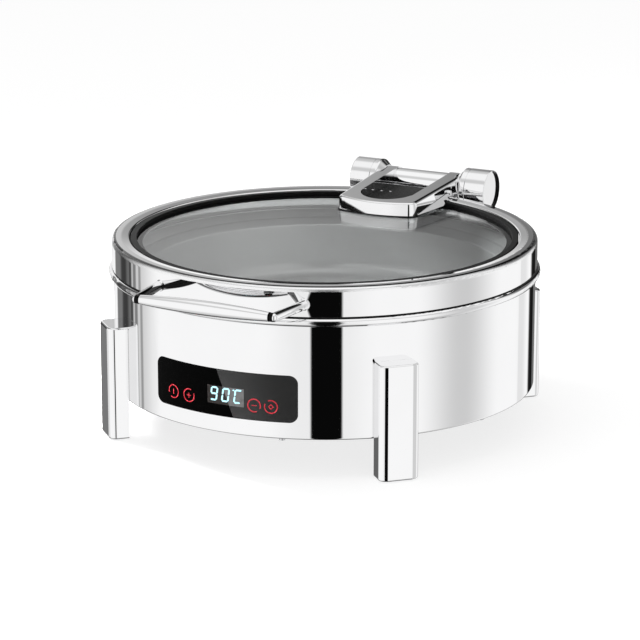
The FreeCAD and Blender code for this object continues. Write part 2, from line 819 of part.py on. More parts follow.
def display_module():
    half_w = WINDOW_W / 2 + DISPLAY_MARGIN
    half_h = WINDOW_H / 2 + DISPLAY_MARGIN
    y0 = BOARD_Y + BOARD_T + DISPLAY_STANDOFF
    block = box(-half_w, half_w, -PANEL_OUT_R, -y0, WINDOW_Z - half_h, WINDOW_Z + half_h)
    return block.common(across(PANEL_IN_R - FIT / 2, 0))


def touch_pads():
    """Sprung contact pads between the board and the glass, one behind each key."""
    made = []
    board = board_box(-BOARD_W, BOARD_W, 0, BOARD_Y + BOARD_T, 0, LID_TOP_Z)
    reach = across(PANEL_IN_R, 0)
    for angle in KEY_ANGLES:
        pad = key_prism(angle, TOUCH_PAD_R, BOARD_Y - BOARD_T, BOARD_INSET + GLASS_T)
        made.append(pad.cut(board).common(reach))
    return Part.makeCompound(made)


def key_ring(gap_angle):
    """Broken ring of ink in the XZ plane at the front, its gap at an angle from +X."""
    depth = 3 * KEY_R
    outer = rod(KEY_R, V(0, 0, 0), -Y_AXIS, depth)
    hollow = rod(KEY_R - KEY_LINE, V(0, 1, 0), -Y_AXIS, depth + 2)
    half = math.radians(KEY_GAP / 2)
    far = 3 * KEY_R
    wedge = [V(0, 1, 0), V(far * math.cos(half), 1, far * math.sin(half))]
    wedge.append(V(far * math.cos(half), 1, -far * math.sin(half)))
    gap = Part.Face(Part.makePolygon(wedge + wedge[:1])).extrude(V(0, -depth - 2, 0))
    gap.rotate(V(0, 0, 0), Y_AXIS, -gap_angle)
    return outer.cut([hollow, gap])


def key_bar(length, width, turn=0.0, x=0.0, z=0.0):
    bar = box(-length / 2, length / 2, -3 * KEY_R, 0, -width / 2, width / 2)
    bar.rotate(V(0, 0, 0), Y_AXIS, turn)
    return bar.translated(V(x, 0, z))


def key_marks():
    """Plain marks inside the rings: power stroke, plus, minus and a square."""
    line = KEY_LINE * 0.8
    power = [key_bar(line, KEY_MARK)]
    plus = [fuse([key_bar(KEY_MARK, line), key_bar(line, KEY_MARK)])]
    minus = [key_bar(KEY_MARK, line)]
    side = KEY_MARK * 0.8
    block = key_bar(side, side, 45)
    hollow = key_bar(side - 2 * line, side - 2 * line, 45)
    square = [block.cut(hollow)]
    return [power, plus, minus, square]


def touch_icons():
    """Printed key signs, a skin of ink on the panel's face."""
    skin = ring(PANEL_OUT_R + INK_T, PANEL_OUT_R, KEY_Z - 2 * KEY_R, KEY_Z + 2 * KEY_R)
    made = []
    for angle, gap, marks in zip(KEY_ANGLES, KEY_GAPS, key_marks()):
        for stamp in [key_ring(gap)] + marks:
            placed = stamp.translated(V(0, -PANEL_OUT_R + KEY_R, KEY_Z))
            made.append(turned(placed, angle).common(skin))
    return Part.makeCompound([solid for shape in made for solid in shape.Solids])


# Power electronics

def power_board():
    half = POWER_BOARD_W / 2
    y0 = POWER_BOARD_Y - POWER_BOARD_D / 2
    return box(-half, half, y0, y0 + POWER_BOARD_D, POWER_BOARD_Z, POWER_BOARD_Z + BOARD_T)


def on_power_board(x, width, depth, height):
    y0 = POWER_BOARD_Y - depth / 2
    block = box(x - width / 2, x + width / 2, y0, y0 + depth, POWER_TOP_Z, POWER_TOP_Z + height)
    upright = [e for e in block.Edges if abs(e.BoundBox.ZLength - height) < 1e-3]
    return block.makeFillet(CASE_EDGE, upright)


def relay():
    return on_power_board(-POWER_BOARD_W / 4, RELAY_W, RELAY_D, RELAY_H)


def transformer():
    return on_power_board(POWER_BOARD_W * 0.28, TRANSFORMER_W, TRANSFORMER_D, TRANSFORMER_H)


# Power inlet

def inlet_socket():
    """Appliance inlet: a box with a mouth to the rear and two screw ears on the shell."""
    front = BODY_R + INLET_EAR_T
    back = front - INLET_DEPTH
    half_w = INLET_W / 2
    half_h = INLET_H / 2
    housing = box(-half_w, half_w, back, front, INLET_Z - half_h, INLET_Z + half_h)
    ear_half = INLET_EAR_W / 2
    ear_h = half_h + INLET_EAR_MARGIN
    ears = box(-ear_half, ear_half, front - 2 * INLET_EAR_T, front, INLET_Z - ear_h, INLET_Z + ear_h)
    upright = [e for e in ears.Edges if abs(e.BoundBox.YLength - 2 * INLET_EAR_T) < 1e-3]
    ears = ears.makeFillet(INLET_EAR_CORNER, upright)
    ears = ears.cut(across(BODY_R, 0))
    body = fuse([housing, ears])
    mouth_w = half_w - INLET_WALL
    mouth_h = half_h - INLET_WALL
    mouth = box(-mouth_w, mouth_w, front - INLET_CAVITY, front + 1, INLET_Z - mouth_h, INLET_Z + mouth_h)
    cuts = [mouth]
    for side in (-1, 1):
        at = V(side * INLET_SCREW_PITCH / 2, back, INLET_Z)
        cuts.append(rod(INLET_SCREW_R + HOLE_FIT, at, Y_AXIS, 2 * INLET_DEPTH))
    for x, z in inlet_pin_places():
        cuts.append(box(x - PIN_W / 2, x + PIN_W / 2, back - 1, front, z - PIN_H / 2, z + PIN_H / 2))
    return body.cut(cuts)


def inlet_pin_places():
    low = INLET_Z - PIN_STEP
    return [(-PIN_PITCH, low), (0, INLET_Z + PIN_STEP), (PIN_PITCH, low)]


def inlet_pins():
    """Three flat pins that pass through the socket's back wall and end in solder tabs."""
    floor = BODY_R + INLET_EAR_T - INLET_CAVITY
    made = []
    for x, z in inlet_pin_places():
        y0 = floor - (INLET_DEPTH - INLET_CAVITY) - PIN_TAIL
        made.append(box(x - PIN_W / 2, x + PIN_W / 2, y0, floor + PIN_L, z - PIN_H / 2, z + PIN_H / 2))
    return Part.makeCompound(made)


def inlet_screws():
    made = []
    for side in (-1, 1):
        at = V(side * INLET_SCREW_PITCH / 2, BODY_R + INLET_EAR_T, INLET_Z)
        made.append(screw(INLET_SCREW_R, INLET_SCREW_L, SMALL_HEAD_R, SMALL_HEAD_H, at, -Y_AXIS))
    return Part.makeCompound(made)


# Leads inside the base

def lead(points, r):
    """Round lead along straight runs, each corner an arc as large as its runs allow."""
    edges = []
    start = points[0]
    for i in range(1, len(points) - 1):
        way_in = points[i] - points[i - 1]
        way_out = points[i + 1] - points[i]
        shorter = min(way_in.Length, way_out.Length)
        turn = way_in.getAngle(way_out)
        run = 0.45 * shorter
        a = points[i] - way_in.normalize() * run
        b = points[i] + way_out.normalize() * run
        bend = run / math.tan(turn / 2)
        inward = (b - points[i]).normalize() + (a - points[i]).normalize()
        mid = points[i] + inward.normalize() * (bend / math.cos(turn / 2) - bend)
        edges.append(Part.LineSegment(start, a).toShape())
        edges.append(Part.Arc(a, mid, b).toShape())
        print("lead bend", round(bend, 1))
        start = b
    edges.append(Part.LineSegment(start, points[-1]).toShape())
    path = Part.Wire(edges)
    first = (points[1] - points[0]).normalize()
    section = Part.Wire([Part.makeCircle(r, points[0], first)])
    tube = path.makePipeShell([section], True, False)
    print("lead volume", round(tube.Volume), "of", round(math.pi * r * r * path.Length))
    return tube


def mains_leads():
    """Two leads that run forward from the inlet's tabs and turn down on the power board."""
    tab_y = BODY_R + INLET_EAR_T - INLET_DEPTH - PIN_TAIL
    made = []
    for x, z in inlet_pin_places():
        if x == 0:
            continue
        y = tab_y - MAINS_RUN
        made.append(lead([V(x, tab_y, z), V(x, y, z), V(x, y, POWER_TOP_Z)], LEAD_R))
    return Part.makeCompound(made)


def heater_leads():
    """Two leads from the element's cold ends, over the shield's lip, down to the power board."""
    z = PLATE_BOTTOM_Z - ELEMENT_R
    reach = COIL_R + COLD_END_L + ELEMENT_R
    board_front = POWER_BOARD_Y - POWER_BOARD_D / 2
    made = []
    for side in (-1, 1):
        way = outward(180 + side * COLD_GAP_ANGLE / 2)
        end = way * reach + V(0, 0, z)
        far = board_front / way.y
        over = way * (far - HEATER_LEAD_BACK) + V(0, 0, z)
        down = way * (far + HEATER_LEAD_OUT) + V(0, 0, z - HEATER_LEAD_FALL)
        made.append(lead([end, over, down, V(down.x, down.y, POWER_TOP_Z)], LEAD_R))
    return Part.makeCompound(made)


def signal_cable():
    """Cable from the power board round the inside of the shell to the control board's back."""
    low = BODY_BASE_Z + SIGNAL_R + FREE
    edge = V(POWER_BOARD_W / 2, POWER_BOARD_Y, POWER_BOARD_Z + BOARD_T / 2)
    points = [edge, edge + X_AXIS * SIGNAL_RUN]
    step = (SIGNAL_LAST - SIGNAL_FIRST) / SIGNAL_STEPS
    for i in range(SIGNAL_STEPS + 1):
        points.append(radial(SIGNAL_FIRST + step * i, SIGNAL_RING_R, low))
    turn = FreeCAD.Rotation(Z_AXIS, PANEL_TURN)
    x = BOARD_W / 2 - SIGNAL_SIDE
    y = -BOARD_Y + SIGNAL_BEHIND
    points.append(turn.multVec(V(x, y, low + SIGNAL_CLIMB)))
    points.append(turn.multVec(V(x - SIGNAL_R, y, PANEL_MID_Z)))
    points.append(turn.multVec(V(x - SIGNAL_R, -BOARD_Y, PANEL_MID_Z)))
    return lead(points, SIGNAL_R)


# Lid

def lid_frame():
    path = [
        (LID_R, LID_BOTTOM_Z, 0),
        (LID_R, LID_TOP_Z, LID_SHOULDER),
        (RING_FLAT_R, LID_TOP_Z, RING_FALL_BEND),
        (RING_INNER_R, LID_TOP_Z - RING_DIP, 1.35 * LID_SHEET),
        (RING_INNER_R, SEAT_TOP_Z, 0),
        (SEAT_INNER_R, SEAT_TOP_Z, 0),
    ]
    frame = spun(thickened(path, LID_SHEET))
    cuts = []
    for side in (-1, 1):
        angle = side * ARM_SPREAD_ANGLE
        at = radial(angle, LID_R - 3 * LID_SHEET, LID_TOP_Z - HANDLE_Z_DROP)
        cuts.append(rod(HANDLE_SCREW_R + HOLE_FIT, at, outward(angle), HANDLE_SCREW_L))
    return frame.cut(cuts)


def glass_gasket():
    """Channel of black silicone round the glass edge."""
    outer = RING_INNER_R - LID_SHEET - FIT / 2
    top = LID_TOP_Z - GASKET_TOP_DROP
    profile = [
        (SEAT_INNER_R, SEAT_TOP_Z, 0),
        (outer, SEAT_TOP_Z, 0),
        (outer, top, GASKET_EDGE),
        (GASKET_LIP_R, top, GASKET_EDGE),
        (GASKET_LIP_R, GLASS_TOP_Z, 0),
        (GLASS_R, GLASS_TOP_Z, 0),
        (GLASS_R, GLASS_BOTTOM_Z, 0),
        (SEAT_INNER_R, GLASS_BOTTOM_Z, 0),
    ]
    return spun(profile)


def arm_screw_places():
    return [(s * ARM_SCREW_X, y) for s in (-1, 1) for y in (ARM_SCREW_FRONT_Y, ARM_SCREW_REAR_Y)]


def arm_screw_rods(r, z0, z1):
    return [rod(r, V(x, y, z0), Z_AXIS, z1 - z0) for x, y in arm_screw_places()]


def lid_glass():
    plate = rod(GLASS_R, V(0, 0, GLASS_BOTTOM_Z), Z_AXIS, LID_GLASS_T)
    return plate.cut(arm_screw_rods(ARM_SCREW_R + HOLE_FIT, GLASS_BOTTOM_Z - 1, GLASS_TOP_Z + 1))


# Front handle

def handle_centre():
    """Middle of the grip: in front of the skirt, below the lid's top."""
    return V(0, -LID_R - HANDLE_REACH, LID_TOP_Z - HANDLE_Z_DROP)


def handle_grip():
    """Spindle along X: a bar that swells in the middle, with a thin neck at each end."""
    steps = 8
    reach = GRIP_HALF - GRIP_NECK_L
    points = []
    for i in range(steps + 1):
        x = reach * (2.0 * i / steps - 1)
        swell = 1 - (x / reach) ** 2
        points.append(V(x, 0, GRIP_END_R + (GRIP_MID_R - GRIP_END_R) * swell))
    curve = Part.BSplineCurve()
    curve.interpolate(points)
    right = [V(reach, 0, GRIP_NECK_R), V(GRIP_HALF, 0, GRIP_NECK_R), V(GRIP_HALF, 0, 0)]
    left = [V(-p.x, 0, p.z) for p in reversed(right)]
    rest = Part.makePolygon([points[-1]] + right + left + [points[0]])
    grip = Part.Face(Part.Wire([curve.toShape()] + rest.Edges)).revolve(V(0, 0, 0), X_AXIS, 360)
    return grip.translated(handle_centre())


def handle_arm():
    """Right arm: a stub at the grip's end, a ball corner and a bar back to a round foot on the skirt."""
    z = LID_TOP_Z - HANDLE_Z_DROP
    way = outward(ARM_SPREAD_ANGLE)
    skirt = radial(ARM_SPREAD_ANGLE, LID_R, z)
    foot = skirt + way * HANDLE_FOOT_T
    start = handle_centre() + X_AXIS * GRIP_HALF
    knee = start + X_AXIS * HANDLE_KNEE
    back = (foot - knee).normalize()
    inside = HANDLE_FOOT_T + FREE
    stub = rod(HANDLE_ARM_R, start, X_AXIS, HANDLE_KNEE)
    ball = Part.makeSphere(HANDLE_ARM_R, knee)
    bar = Part.makeCone(HANDLE_ARM_R, HANDLE_ARM_FOOT_R, knee.distanceToPoint(foot), knee, back)
    disc = rod(HANDLE_FOOT_R, skirt - way * inside, way, inside)
    collar = Part.makeCone(HANDLE_FOOT_R, HANDLE_ARM_FOOT_R, HANDLE_FOOT_T, skirt, way)
    arm = fuse([stub, ball, bar, disc, collar])
    arm = arm.cut([rod(LID_R, V(0, 0, LID_BOTTOM_Z), Z_AXIS, LID_H), handle_grip()])
    return arm.cut(rod(HANDLE_SCREW_R, skirt - way * LID_SHEET, way, HANDLE_SCREW_L))


def handle_screws():
    made = []
    for side in (-1, 1):
        angle = side * ARM_SPREAD_ANGLE
        at = radial(angle, LID_R - LID_SHEET - FIT, LID_TOP_Z - HANDLE_Z_DROP)
        made.append(screw(HANDLE_SCREW_R, HANDLE_SCREW_L, HANDLE_HEAD_R, HANDLE_HEAD_H, at, outward(angle)))
    return Part.makeCompound(made)


# Cast arm that joins the lid to the hinge

def arm_half_width(y):
    """Half width of the arm: its sides spread a little towards the hinge."""
    return ARM_HALF_W + ARM_SPREAD * (y - ARM_FRONT_Y)


def arm_draft_in(z):
    """How far the drafted sides of the casting have come in at a height."""
    return (z - ARM_BASE_Z) * math.tan(math.radians(ARM_DRAFT))


def arm_outline(z):
    """Plan of the arm: a bowed front, rounded corners and sides that spread towards the hinge."""
    side = V(ARM_SPREAD, 1, 0).normalize()
    normal = V(side.y, -side.x, 0)
    shoulder_y = ARM_FRONT_Y + ARM_FRONT_BOW + ARM_CORNER
    side_start = V(arm_half_width(shoulder_y), shoulder_y, z)
    centre = side_start - normal * ARM_CORNER
    depth = centre.y - ARM_FRONT_Y
    bow_r = (centre.x**2 + depth**2 - ARM_CORNER**2) / (2 * (depth - ARM_CORNER))
    bow_centre = V(0, ARM_FRONT_Y + bow_r, z)
    outwards = (centre - bow_centre).normalize()
    front_end = bow_centre + outwards * bow_r
    corner_mid = centre + (outwards + normal).normalize() * ARM_CORNER
    rear = V(arm_half_width(HINGE_Y), HINGE_Y, z)
    tip = V(0, ARM_FRONT_Y, z)

    def flip(p):
        return V(-p.x, p.y, p.z)

    edges = [
        Part.Arc(flip(front_end), tip, front_end).toShape(),
        Part.Arc(front_end, corner_mid, side_start).toShape(),
        Part.LineSegment(side_start, rear).toShape(),
        Part.LineSegment(rear, flip(rear)).toShape(),
        Part.LineSegment(flip(rear), flip(side_start)).toShape(),
        Part.Arc(flip(side_start), flip(corner_mid), flip(front_end)).toShape(),
    ]
    return Part.Wire(edges)


def arm_top_z(y):
    """Height of the arm's sloping top, level with the top of the barrel above the axis."""
    front = LID_TOP_Z + ARM_FRONT_TOP
    rear = HINGE_Z + ARM_EYE_R
    return front + (rear - front) * (y - ARM_FRONT_Y) / (HINGE_Y - ARM_FRONT_Y)


def arm_mouth(z0, z1):
    """The D-shaped opening: a half ellipse in front, sides that open towards the barrel."""
    centre = ARM_MOUTH_Y + ARM_MOUTH_DEPTH
    half = ARM_MOUTH_HALF_W
    rear = half + ARM_MOUTH_SPREAD
    back = HINGE_Y + 2 * ARM_EYE_R
    steps = 12
    bow = []
    for i in range(steps + 1):
        a = math.pi * i / steps
        bow.append(V(-half * math.cos(a), centre - ARM_MOUTH_DEPTH * math.sin(a), z0))
    curve = Part.BSplineCurve()
    curve.interpolate(bow, InitialTangent=V(0, -1, 0), FinalTangent=V(0, 1, 0))
    edges = [
        curve.toShape(),
        Part.LineSegment(bow[-1], V(rear, back, z0)).toShape(),
        Part.LineSegment(V(rear, back, z0), V(-rear, back, z0)).toShape(),
        Part.LineSegment(V(-rear, back, z0), bow[0]).toShape(),
    ]
    return Part.Face(Part.Wire(edges)).extrude(V(0, 0, z1 - z0))


def arm_flare():
    """Foot that widens the right side along the glass, from nothing in front to its full width."""
    front_y = ARM_FRONT_Y + ARM_FRONT_BOW + ARM_CORNER
    sections = []
    for y, share in ((front_y, 0.05), (ARM_FLARE_REAR_Y, 1.0)):
        x = arm_half_width(y)
        root = x - ARM_EDGE
        inner = V(root, y, ARM_BASE_Z)
        outer = V(x + ARM_FLARE * share, y, ARM_BASE_Z)
        upper = V(x, y, ARM_BASE_Z + ARM_FLARE_RISE * share)
        top = V(root, y, ARM_BASE_Z + ARM_FLARE_RISE * share)
        sections.append(Part.makePolygon([inner, outer, upper, top, inner]))
    return Part.makeLoft(sections, True, True)


def side_pin_bars(length):
    """Bars along X at the two side pins, from their seats in the arm outwards."""
    z = arm_top_z(SIDE_PIN_Y) - ARM_EDGE - 2.2 * SIDE_PIN_R
    start = arm_half_width(SIDE_PIN_Y) - arm_draft_in(z) - SIDE_PIN_DEPTH
    return [
        rod(SIDE_PIN_R, V(start, SIDE_PIN_Y, z), X_AXIS, length),
        rod(SIDE_PIN_R, V(-start, SIDE_PIN_Y, z), -X_AXIS, length),
    ]


def side_pins():
    return Part.makeCompound(side_pin_bars(SIDE_PIN_DEPTH + SIDE_PIN_PROUD))


def hinge_arm():
    top = HINGE_Z + 2 * ARM_EYE_R
    upper = arm_outline(top).makeOffset2D(-arm_draft_in(top))
    block = Part.makeLoft([arm_outline(ARM_BASE_Z), upper], True, True)
    wide = 3 * ARM_HALF_W
    y0 = ARM_FRONT_Y - ARM_FRONT_LAND
    y1 = HINGE_Y + ARM_EYE_R
    slope = [
        V(-wide, y0, arm_top_z(y0)),
        V(-wide, y1, arm_top_z(y1)),
        V(-wide, y1, top + ARM_EYE_R),
        V(-wide, y0, top + ARM_EYE_R),
    ]
    above = Part.Face(Part.makePolygon(slope + slope[:1])).extrude(V(2 * wide, 0, 0))
    block = block.cut([above, arm_mouth(ARM_BASE_Z - ARM_PAD_T, top)])
    block = softened(block)
    flare = arm_flare()
    block = block.fuse([flare, mirrored_x(flare)])
    ring_top = LID_TOP_Z + ARM_OVER_RING
    block = block.cut(ring(2 * LID_R, GASKET_LIP_R - ARM_PAD_T, ARM_BASE_Z - ARM_PAD_T, ring_top))
    eyes = [on_axis(ARM_EYE_IN, ARM_EYE_OUT, ARM_EYE_R)]
    eyes.append(mirrored_x(eyes[0]))
    arm = block.fuse(eyes)
    cuts = []
    for x0, x1 in ((ARM_EYE_OUT, wide), (-wide, -ARM_EYE_OUT)):
        cuts.append(on_axis(x0, x1, HOUSING_R + 2 * FREE))
        cuts.append(box(x0, x1, HINGE_Y, HINGE_Y + wide, HINGE_Z - 2 * HOUSING_R, top))
    cuts.append(on_axis(-ARM_EYE_IN, ARM_EYE_IN, SLEEVE_R + SLEEVE_GAP))
    cuts.append(on_axis(-wide, wide, BUSH_OUT_R))
    cuts += arm_screw_rods(ARM_SCREW_R, ARM_BASE_Z - ARM_PAD_T, ARM_BASE_Z + ARM_SCREW_BITE)
    cuts += side_pin_bars(2 * SIDE_PIN_DEPTH)
    return arm.cut(cuts)


def softened(block):
    """Round the outer edges of the arm's top."""
    outside = []
    for edge in block.Edges:
        middle = edge.valueAt((edge.FirstParameter + edge.LastParameter) / 2)
        on_top = abs(middle.z - arm_top_z(middle.y)) < 0.05 and middle.y < HINGE_Y - ARM_EDGE
        beside = abs(middle.x) > ARM_MOUTH_HALF_W + ARM_SIDE_W / 2
        if on_top and (beside or middle.y < ARM_FRONT_Y + ARM_FRONT_LAND / 2):
            outside.append(edge)
    return block.makeFillet(ARM_EDGE, outside)


def arm_pad():
    """Thin rubber pad between the arm's foot and the glass."""
    pad = Part.Face(arm_outline(GLASS_TOP_Z)).extrude(V(0, 0, ARM_PAD_T))
    inside = rod(GASKET_LIP_R - ARM_PAD_T, V(0, 0, GLASS_TOP_Z), Z_AXIS, ARM_PAD_T)
    low = GLASS_TOP_Z - ARM_PAD_T
    high = ARM_BASE_Z + ARM_PAD_T
    cuts = [arm_mouth(low, high)] + arm_screw_rods(ARM_SCREW_R + HOLE_FIT, low, high)
    return pad.common(inside).cut(cuts)


def backing_outline(z, height):
    """U-shaped plate that mirrors the arm's foot under the glass."""
    half = ARM_HALF_W
    y0 = ARM_FRONT_Y + ARM_FRONT_BOW
    y1 = ARM_SCREW_REAR_Y + BACKING_CORNER
    plan = [V(-half, y0, z), V(half, y0, z), V(half, y1, z), V(-half, y1, z)]
    plate = Part.Face(corner_wire([(p, BACKING_CORNER) for p in plan])).extrude(V(0, 0, height))
    within = rod(SEAT_INNER_R - BACKING_MARGIN, V(0, 0, z), Z_AXIS, height)
    gap = arm_mouth(z - height, z + 2 * height)
    return plate.common(within).cut(gap)


def backing_plate():
    """Steel plate and its rubber face under the glass, drilled for the four screws."""
    bottom = GLASS_BOTTOM_Z - BACKING_RUBBER_T - BACKING_T
    plate = backing_outline(bottom, BACKING_T + BACKING_RUBBER_T)
    return plate.cut(arm_screw_rods(ARM_SCREW_R + HOLE_FIT, bottom - BACKING_T, GLASS_TOP_Z))


def arm_screws():
    bottom = GLASS_BOTTOM_Z - BACKING_RUBBER_T - BACKING_T
    length = ARM_BASE_Z + ARM_SCREW_BITE - HOLE_END - bottom
    made = []
    for x, y in arm_screw_places():
        made.append(screw(ARM_SCREW_R, length, ARM_SCREW_HEAD_R, ARM_SCREW_HEAD_H, V(x, y, bottom), Z_AXIS))
    return Part.makeCompound(made)


# Hinge barrel

def on_axis(x0, x1, r):
    """Round bar on the hinge axis between two X values."""
    return rod(r, V(x0, HINGE_Y, HINGE_Z), X_AXIS, x1 - x0)


def turned_on_axis(profile):
    """Solid of revolution about the hinge axis from corners (x, r, radius)."""
    corners = [(V(x, HINGE_Y, HINGE_Z + r), radius) for x, r, radius in profile]
    return Part.Face(corner_wire(corners)).revolve(V(0, HINGE_Y, HINGE_Z), X_AXIS, 360)


def hinge_shaft():
    end = HOUSING_OUT - SHAFT_END
    shaft = on_axis(-end, end, SHAFT_R)
    return shaft.makeChamfer(SHAFT_CHAMFER, [e for e in shaft.Edges if len(e.Vertexes) == 1])


def housing_profile(bore_deep, web_bore):
    """Right-hand housing: a cone that swells from the arm's eye, then a straight barrel."""
    x0 = HOUSING_IN
    x1 = HOUSING_IN + HOUSING_CONE_L
    x2 = HOUSING_OUT
    mark = x1 + HOUSING_GROOVE_IN
    return [
        (x0, web_bore, 0),
        (x0, HOUSING_CONE_R, HOUSING_EDGE),
        (x1, HOUSING_R, HOUSING_SHOULDER),
        (mark, HOUSING_R, 0),
        (mark, HOUSING_R - HOUSING_GROOVE, 0),
        (mark + HOUSING_GROOVE_W, HOUSING_R - HOUSING_GROOVE, 0),
        (mark + HOUSING_GROOVE_W, HOUSING_R, 0),
        (x2, HOUSING_R, 0),
        (x2, bore_deep, 0),
        (x0 + HOUSING_WEB, bore_deep, 0),
        (x0 + HOUSING_WEB, web_bore, 0),
    ]


def right_hinge_housing():
    return turned_on_axis(housing_profile(HOUSING_BORE_R, ROTOR_HUB_R + FREE))


def left_hinge_housing():
    """Left barrel: bored to hold the shaft along its whole length, hollowed only at the mouth."""
    x2 = HOUSING_OUT
    outside = housing_profile(HOUSING_BORE_R, SHAFT_R)[:8]
    floor = x2 - CAP_SPIGOT - SHAFT_END
    inside = [(x2, HOUSING_BORE_R, 0), (floor, HOUSING_BORE_R, 0), (floor, SHAFT_R, 0)]
    return mirrored_x(turned_on_axis(outside + inside))


def end_cap():
    """Right cap: a dished face in a thin lip, and a spigot that centres it and the shaft."""
    x0 = HOUSING_OUT
    floor = x0 + CAP_T - CAP_DISH
    lip = HOUSING_R - CAP_LIP
    profile = [
        (floor, 0, 0),
        (floor, lip, CAP_DISH_CORNER),
        (x0 + CAP_T, lip, CAP_LIP / 4),
        (x0 + CAP_T, HOUSING_R, CAP_EDGE),
        (x0, HOUSING_R, 0),
        (x0, HOUSING_BORE_R, 0),
        (x0 - CAP_SPIGOT, HOUSING_BORE_R, 0),
        (x0 - CAP_SPIGOT, SHAFT_R, 0),
        (x0 - SHAFT_END, SHAFT_R, 0),
        (x0 - SHAFT_END, 0, 0),
    ]
    return turned_on_axis(profile)


def hinge_sleeve():
    """Bright tube between the arm's eyes, over the spring."""
    sleeve = on_axis(-ARM_EYE_IN, ARM_EYE_IN, SLEEVE_R)
    return sleeve.cut(on_axis(-ARM_EYE_OUT, ARM_EYE_OUT, SLEEVE_R - SLEEVE_WALL))


def hinge_bushes():
    """Plain bearings in the arm's eyes, with a thin flange towards the housings."""
    bore = SHAFT_R + RUNNING
    made = []
    for side in (-1, 1):
        flange_r = ROTOR_HUB_R + BUSH_FLANGE_LAP
        profile = [
            (ARM_EYE_IN, bore, 0),
            (ARM_EYE_IN, BUSH_OUT_R, 0),
            (ARM_EYE_OUT, BUSH_OUT_R, 0),
            (ARM_EYE_OUT, flange_r, 0),
            (ARM_EYE_OUT + BUSH_FLANGE_T, flange_r, 0),
            (ARM_EYE_OUT + BUSH_FLANGE_T, bore, 0),
        ]
        bush = turned_on_axis(profile)
        made.append(bush if side > 0 else mirrored_x(bush))
    return Part.makeCompound(made)


def damper_rotor():
    """Vaned rotor that turns with the lid in the right housing's grease."""
    x0 = ARM_EYE_OUT + BUSH_FLANGE_T
    x1 = HOUSING_IN + HOUSING_WEB + FREE
    x2 = x1 + ROTOR_VANE_L
    bore = SHAFT_R + FREE
    hub = on_axis(x0, x2, ROTOR_HUB_R)
    core = on_axis(x1, x2, ROTOR_HUB_R + ROTOR_CORE)
    half = ROTOR_VANE_T / 2
    vanes = []
    for turn in (0, 120, 240):
        vane = box(x1, x2, HINGE_Y - half, HINGE_Y + half, HINGE_Z, HINGE_Z + ROTOR_R)
        vanes.append(turned(vane, turn, V(0, HINGE_Y, HINGE_Z), X_AXIS))
    rotor = fuse([hub, core] + vanes)
    return rotor.common(on_axis(x0, x2, ROTOR_R)).cut(on_axis(0, 2 * x2, bore))


def torsion_spring():
    """Counterbalance coil round the shaft, inside the sleeve."""
    length = SPRING_TURNS * SPRING_PITCH
    helix = Part.makeHelix(SPRING_PITCH, length, SPRING_R)
    start = V(SPRING_R, 0, 0)
    rise = V(0, 2 * math.pi * SPRING_R, SPRING_PITCH).normalize()
    section = Part.Wire([Part.makeCircle(SPRING_WIRE_R, start, rise)])
    coil = Part.Wire(helix).makePipeShell([section], True, True)
    coil.rotate(V(0, 0, 0), Y_AXIS, 90)
    gap = SPRING_PITCH - 2 * SPRING_WIRE_R
    print("spring gap", round(gap, 2))
    return coil.translated(V(spring_start_x(), HINGE_Y, HINGE_Z))


def spring_start_x():
    return -ARM_EYE_IN + SPRING_WIRE_R + FREE


def spring_anchor():
    """Collar on the shaft with a flange that holds the spring's fixed end."""
    x0 = spring_start_x() + SPRING_TURNS * SPRING_PITCH + SPRING_WIRE_R + FIT / 2
    collar = on_axis(x0, x0 + ANCHOR_W, SPRING_R + SPRING_WIRE_R)
    return collar.cut(on_axis(-ARM_EYE_IN, ARM_EYE_IN, SHAFT_R))


# Hinge stands

def hinge_stand():
    """Right-hand stand: a curved foot on the shell, an arm back past the rim and a post."""
    x0 = STAND_X - STAND_W / 2
    front = HINGE_Y - STAND_D / 2
    rear = HINGE_Y + STAND_D / 2
    low = STAND_PAD_Z - STAND_ARM_H / 2
    high = STAND_PAD_Z + STAND_ARM_H / 2
    inside = math.sqrt(BODY_R**2 - (STAND_X + STAND_PAD_W / 2) ** 2) - STAND_PAD_T
    side = [
        (V(x0, inside, low), 0),
        (V(x0, rear - 0.7 * STAND_D, low), 0.5 * STAND_D),
        (V(x0, rear, low + STAND_D), 0.4 * STAND_D),
        (V(x0, rear, HINGE_Z), 0),
        (V(x0, front, HINGE_Z), 0),
        (V(x0, front, high), STAND_CROOK),
        (V(x0, inside, high), 0),
    ]
    post = Part.Face(corner_wire(side)).extrude(V(STAND_W, 0, 0))
    half_w = STAND_PAD_W / 2
    half_h = STAND_PAD_H / 2
    corners = ((-half_w, -half_h), (half_w, -half_h), (half_w, half_h), (-half_w, half_h))
    plan = [V(STAND_X + x, inside, STAND_PAD_Z + z) for x, z in corners]
    pad = Part.Face(corner_wire([(p, STAND_PAD_CORNER) for p in plan])).extrude(V(0, rear - inside, 0))
    pad = pad.common(across(BODY_R + STAND_PAD_T, 0))
    stand = fuse([post, pad])
    cuts = [across(BODY_R, 0), on_axis(0, 2 * HOUSING_OUT, HOUSING_R)]
    for angle, z in stand_screw_points():
        at = radial(angle, BODY_IN_R, z)
        cuts.append(rod(STAND_SCREW_R + HOLE_FIT, at, outward(angle), 3 * STAND_PAD_T))
    return stand.cut(cuts)


def stand_screws():
    """Button-headed screws through the stands' feet, each with a nut inside the shell."""
    made = []
    for angle, z in stand_screw_points():
        way = outward(angle)
        at = radial(angle, BODY_R + STAND_PAD_T + FIT, z)
        bolt = screw(STAND_SCREW_R, STAND_SCREW_L, STAND_HEAD_R, STAND_HEAD_H, at, -way)
        nut = rod(STAND_NUT_R, radial(angle, BODY_IN_R - 2 * FIT, z), -way, STAND_NUT_T)
        made.append(fuse([bolt, nut]))
    return Part.makeCompound(made)


# Food pan

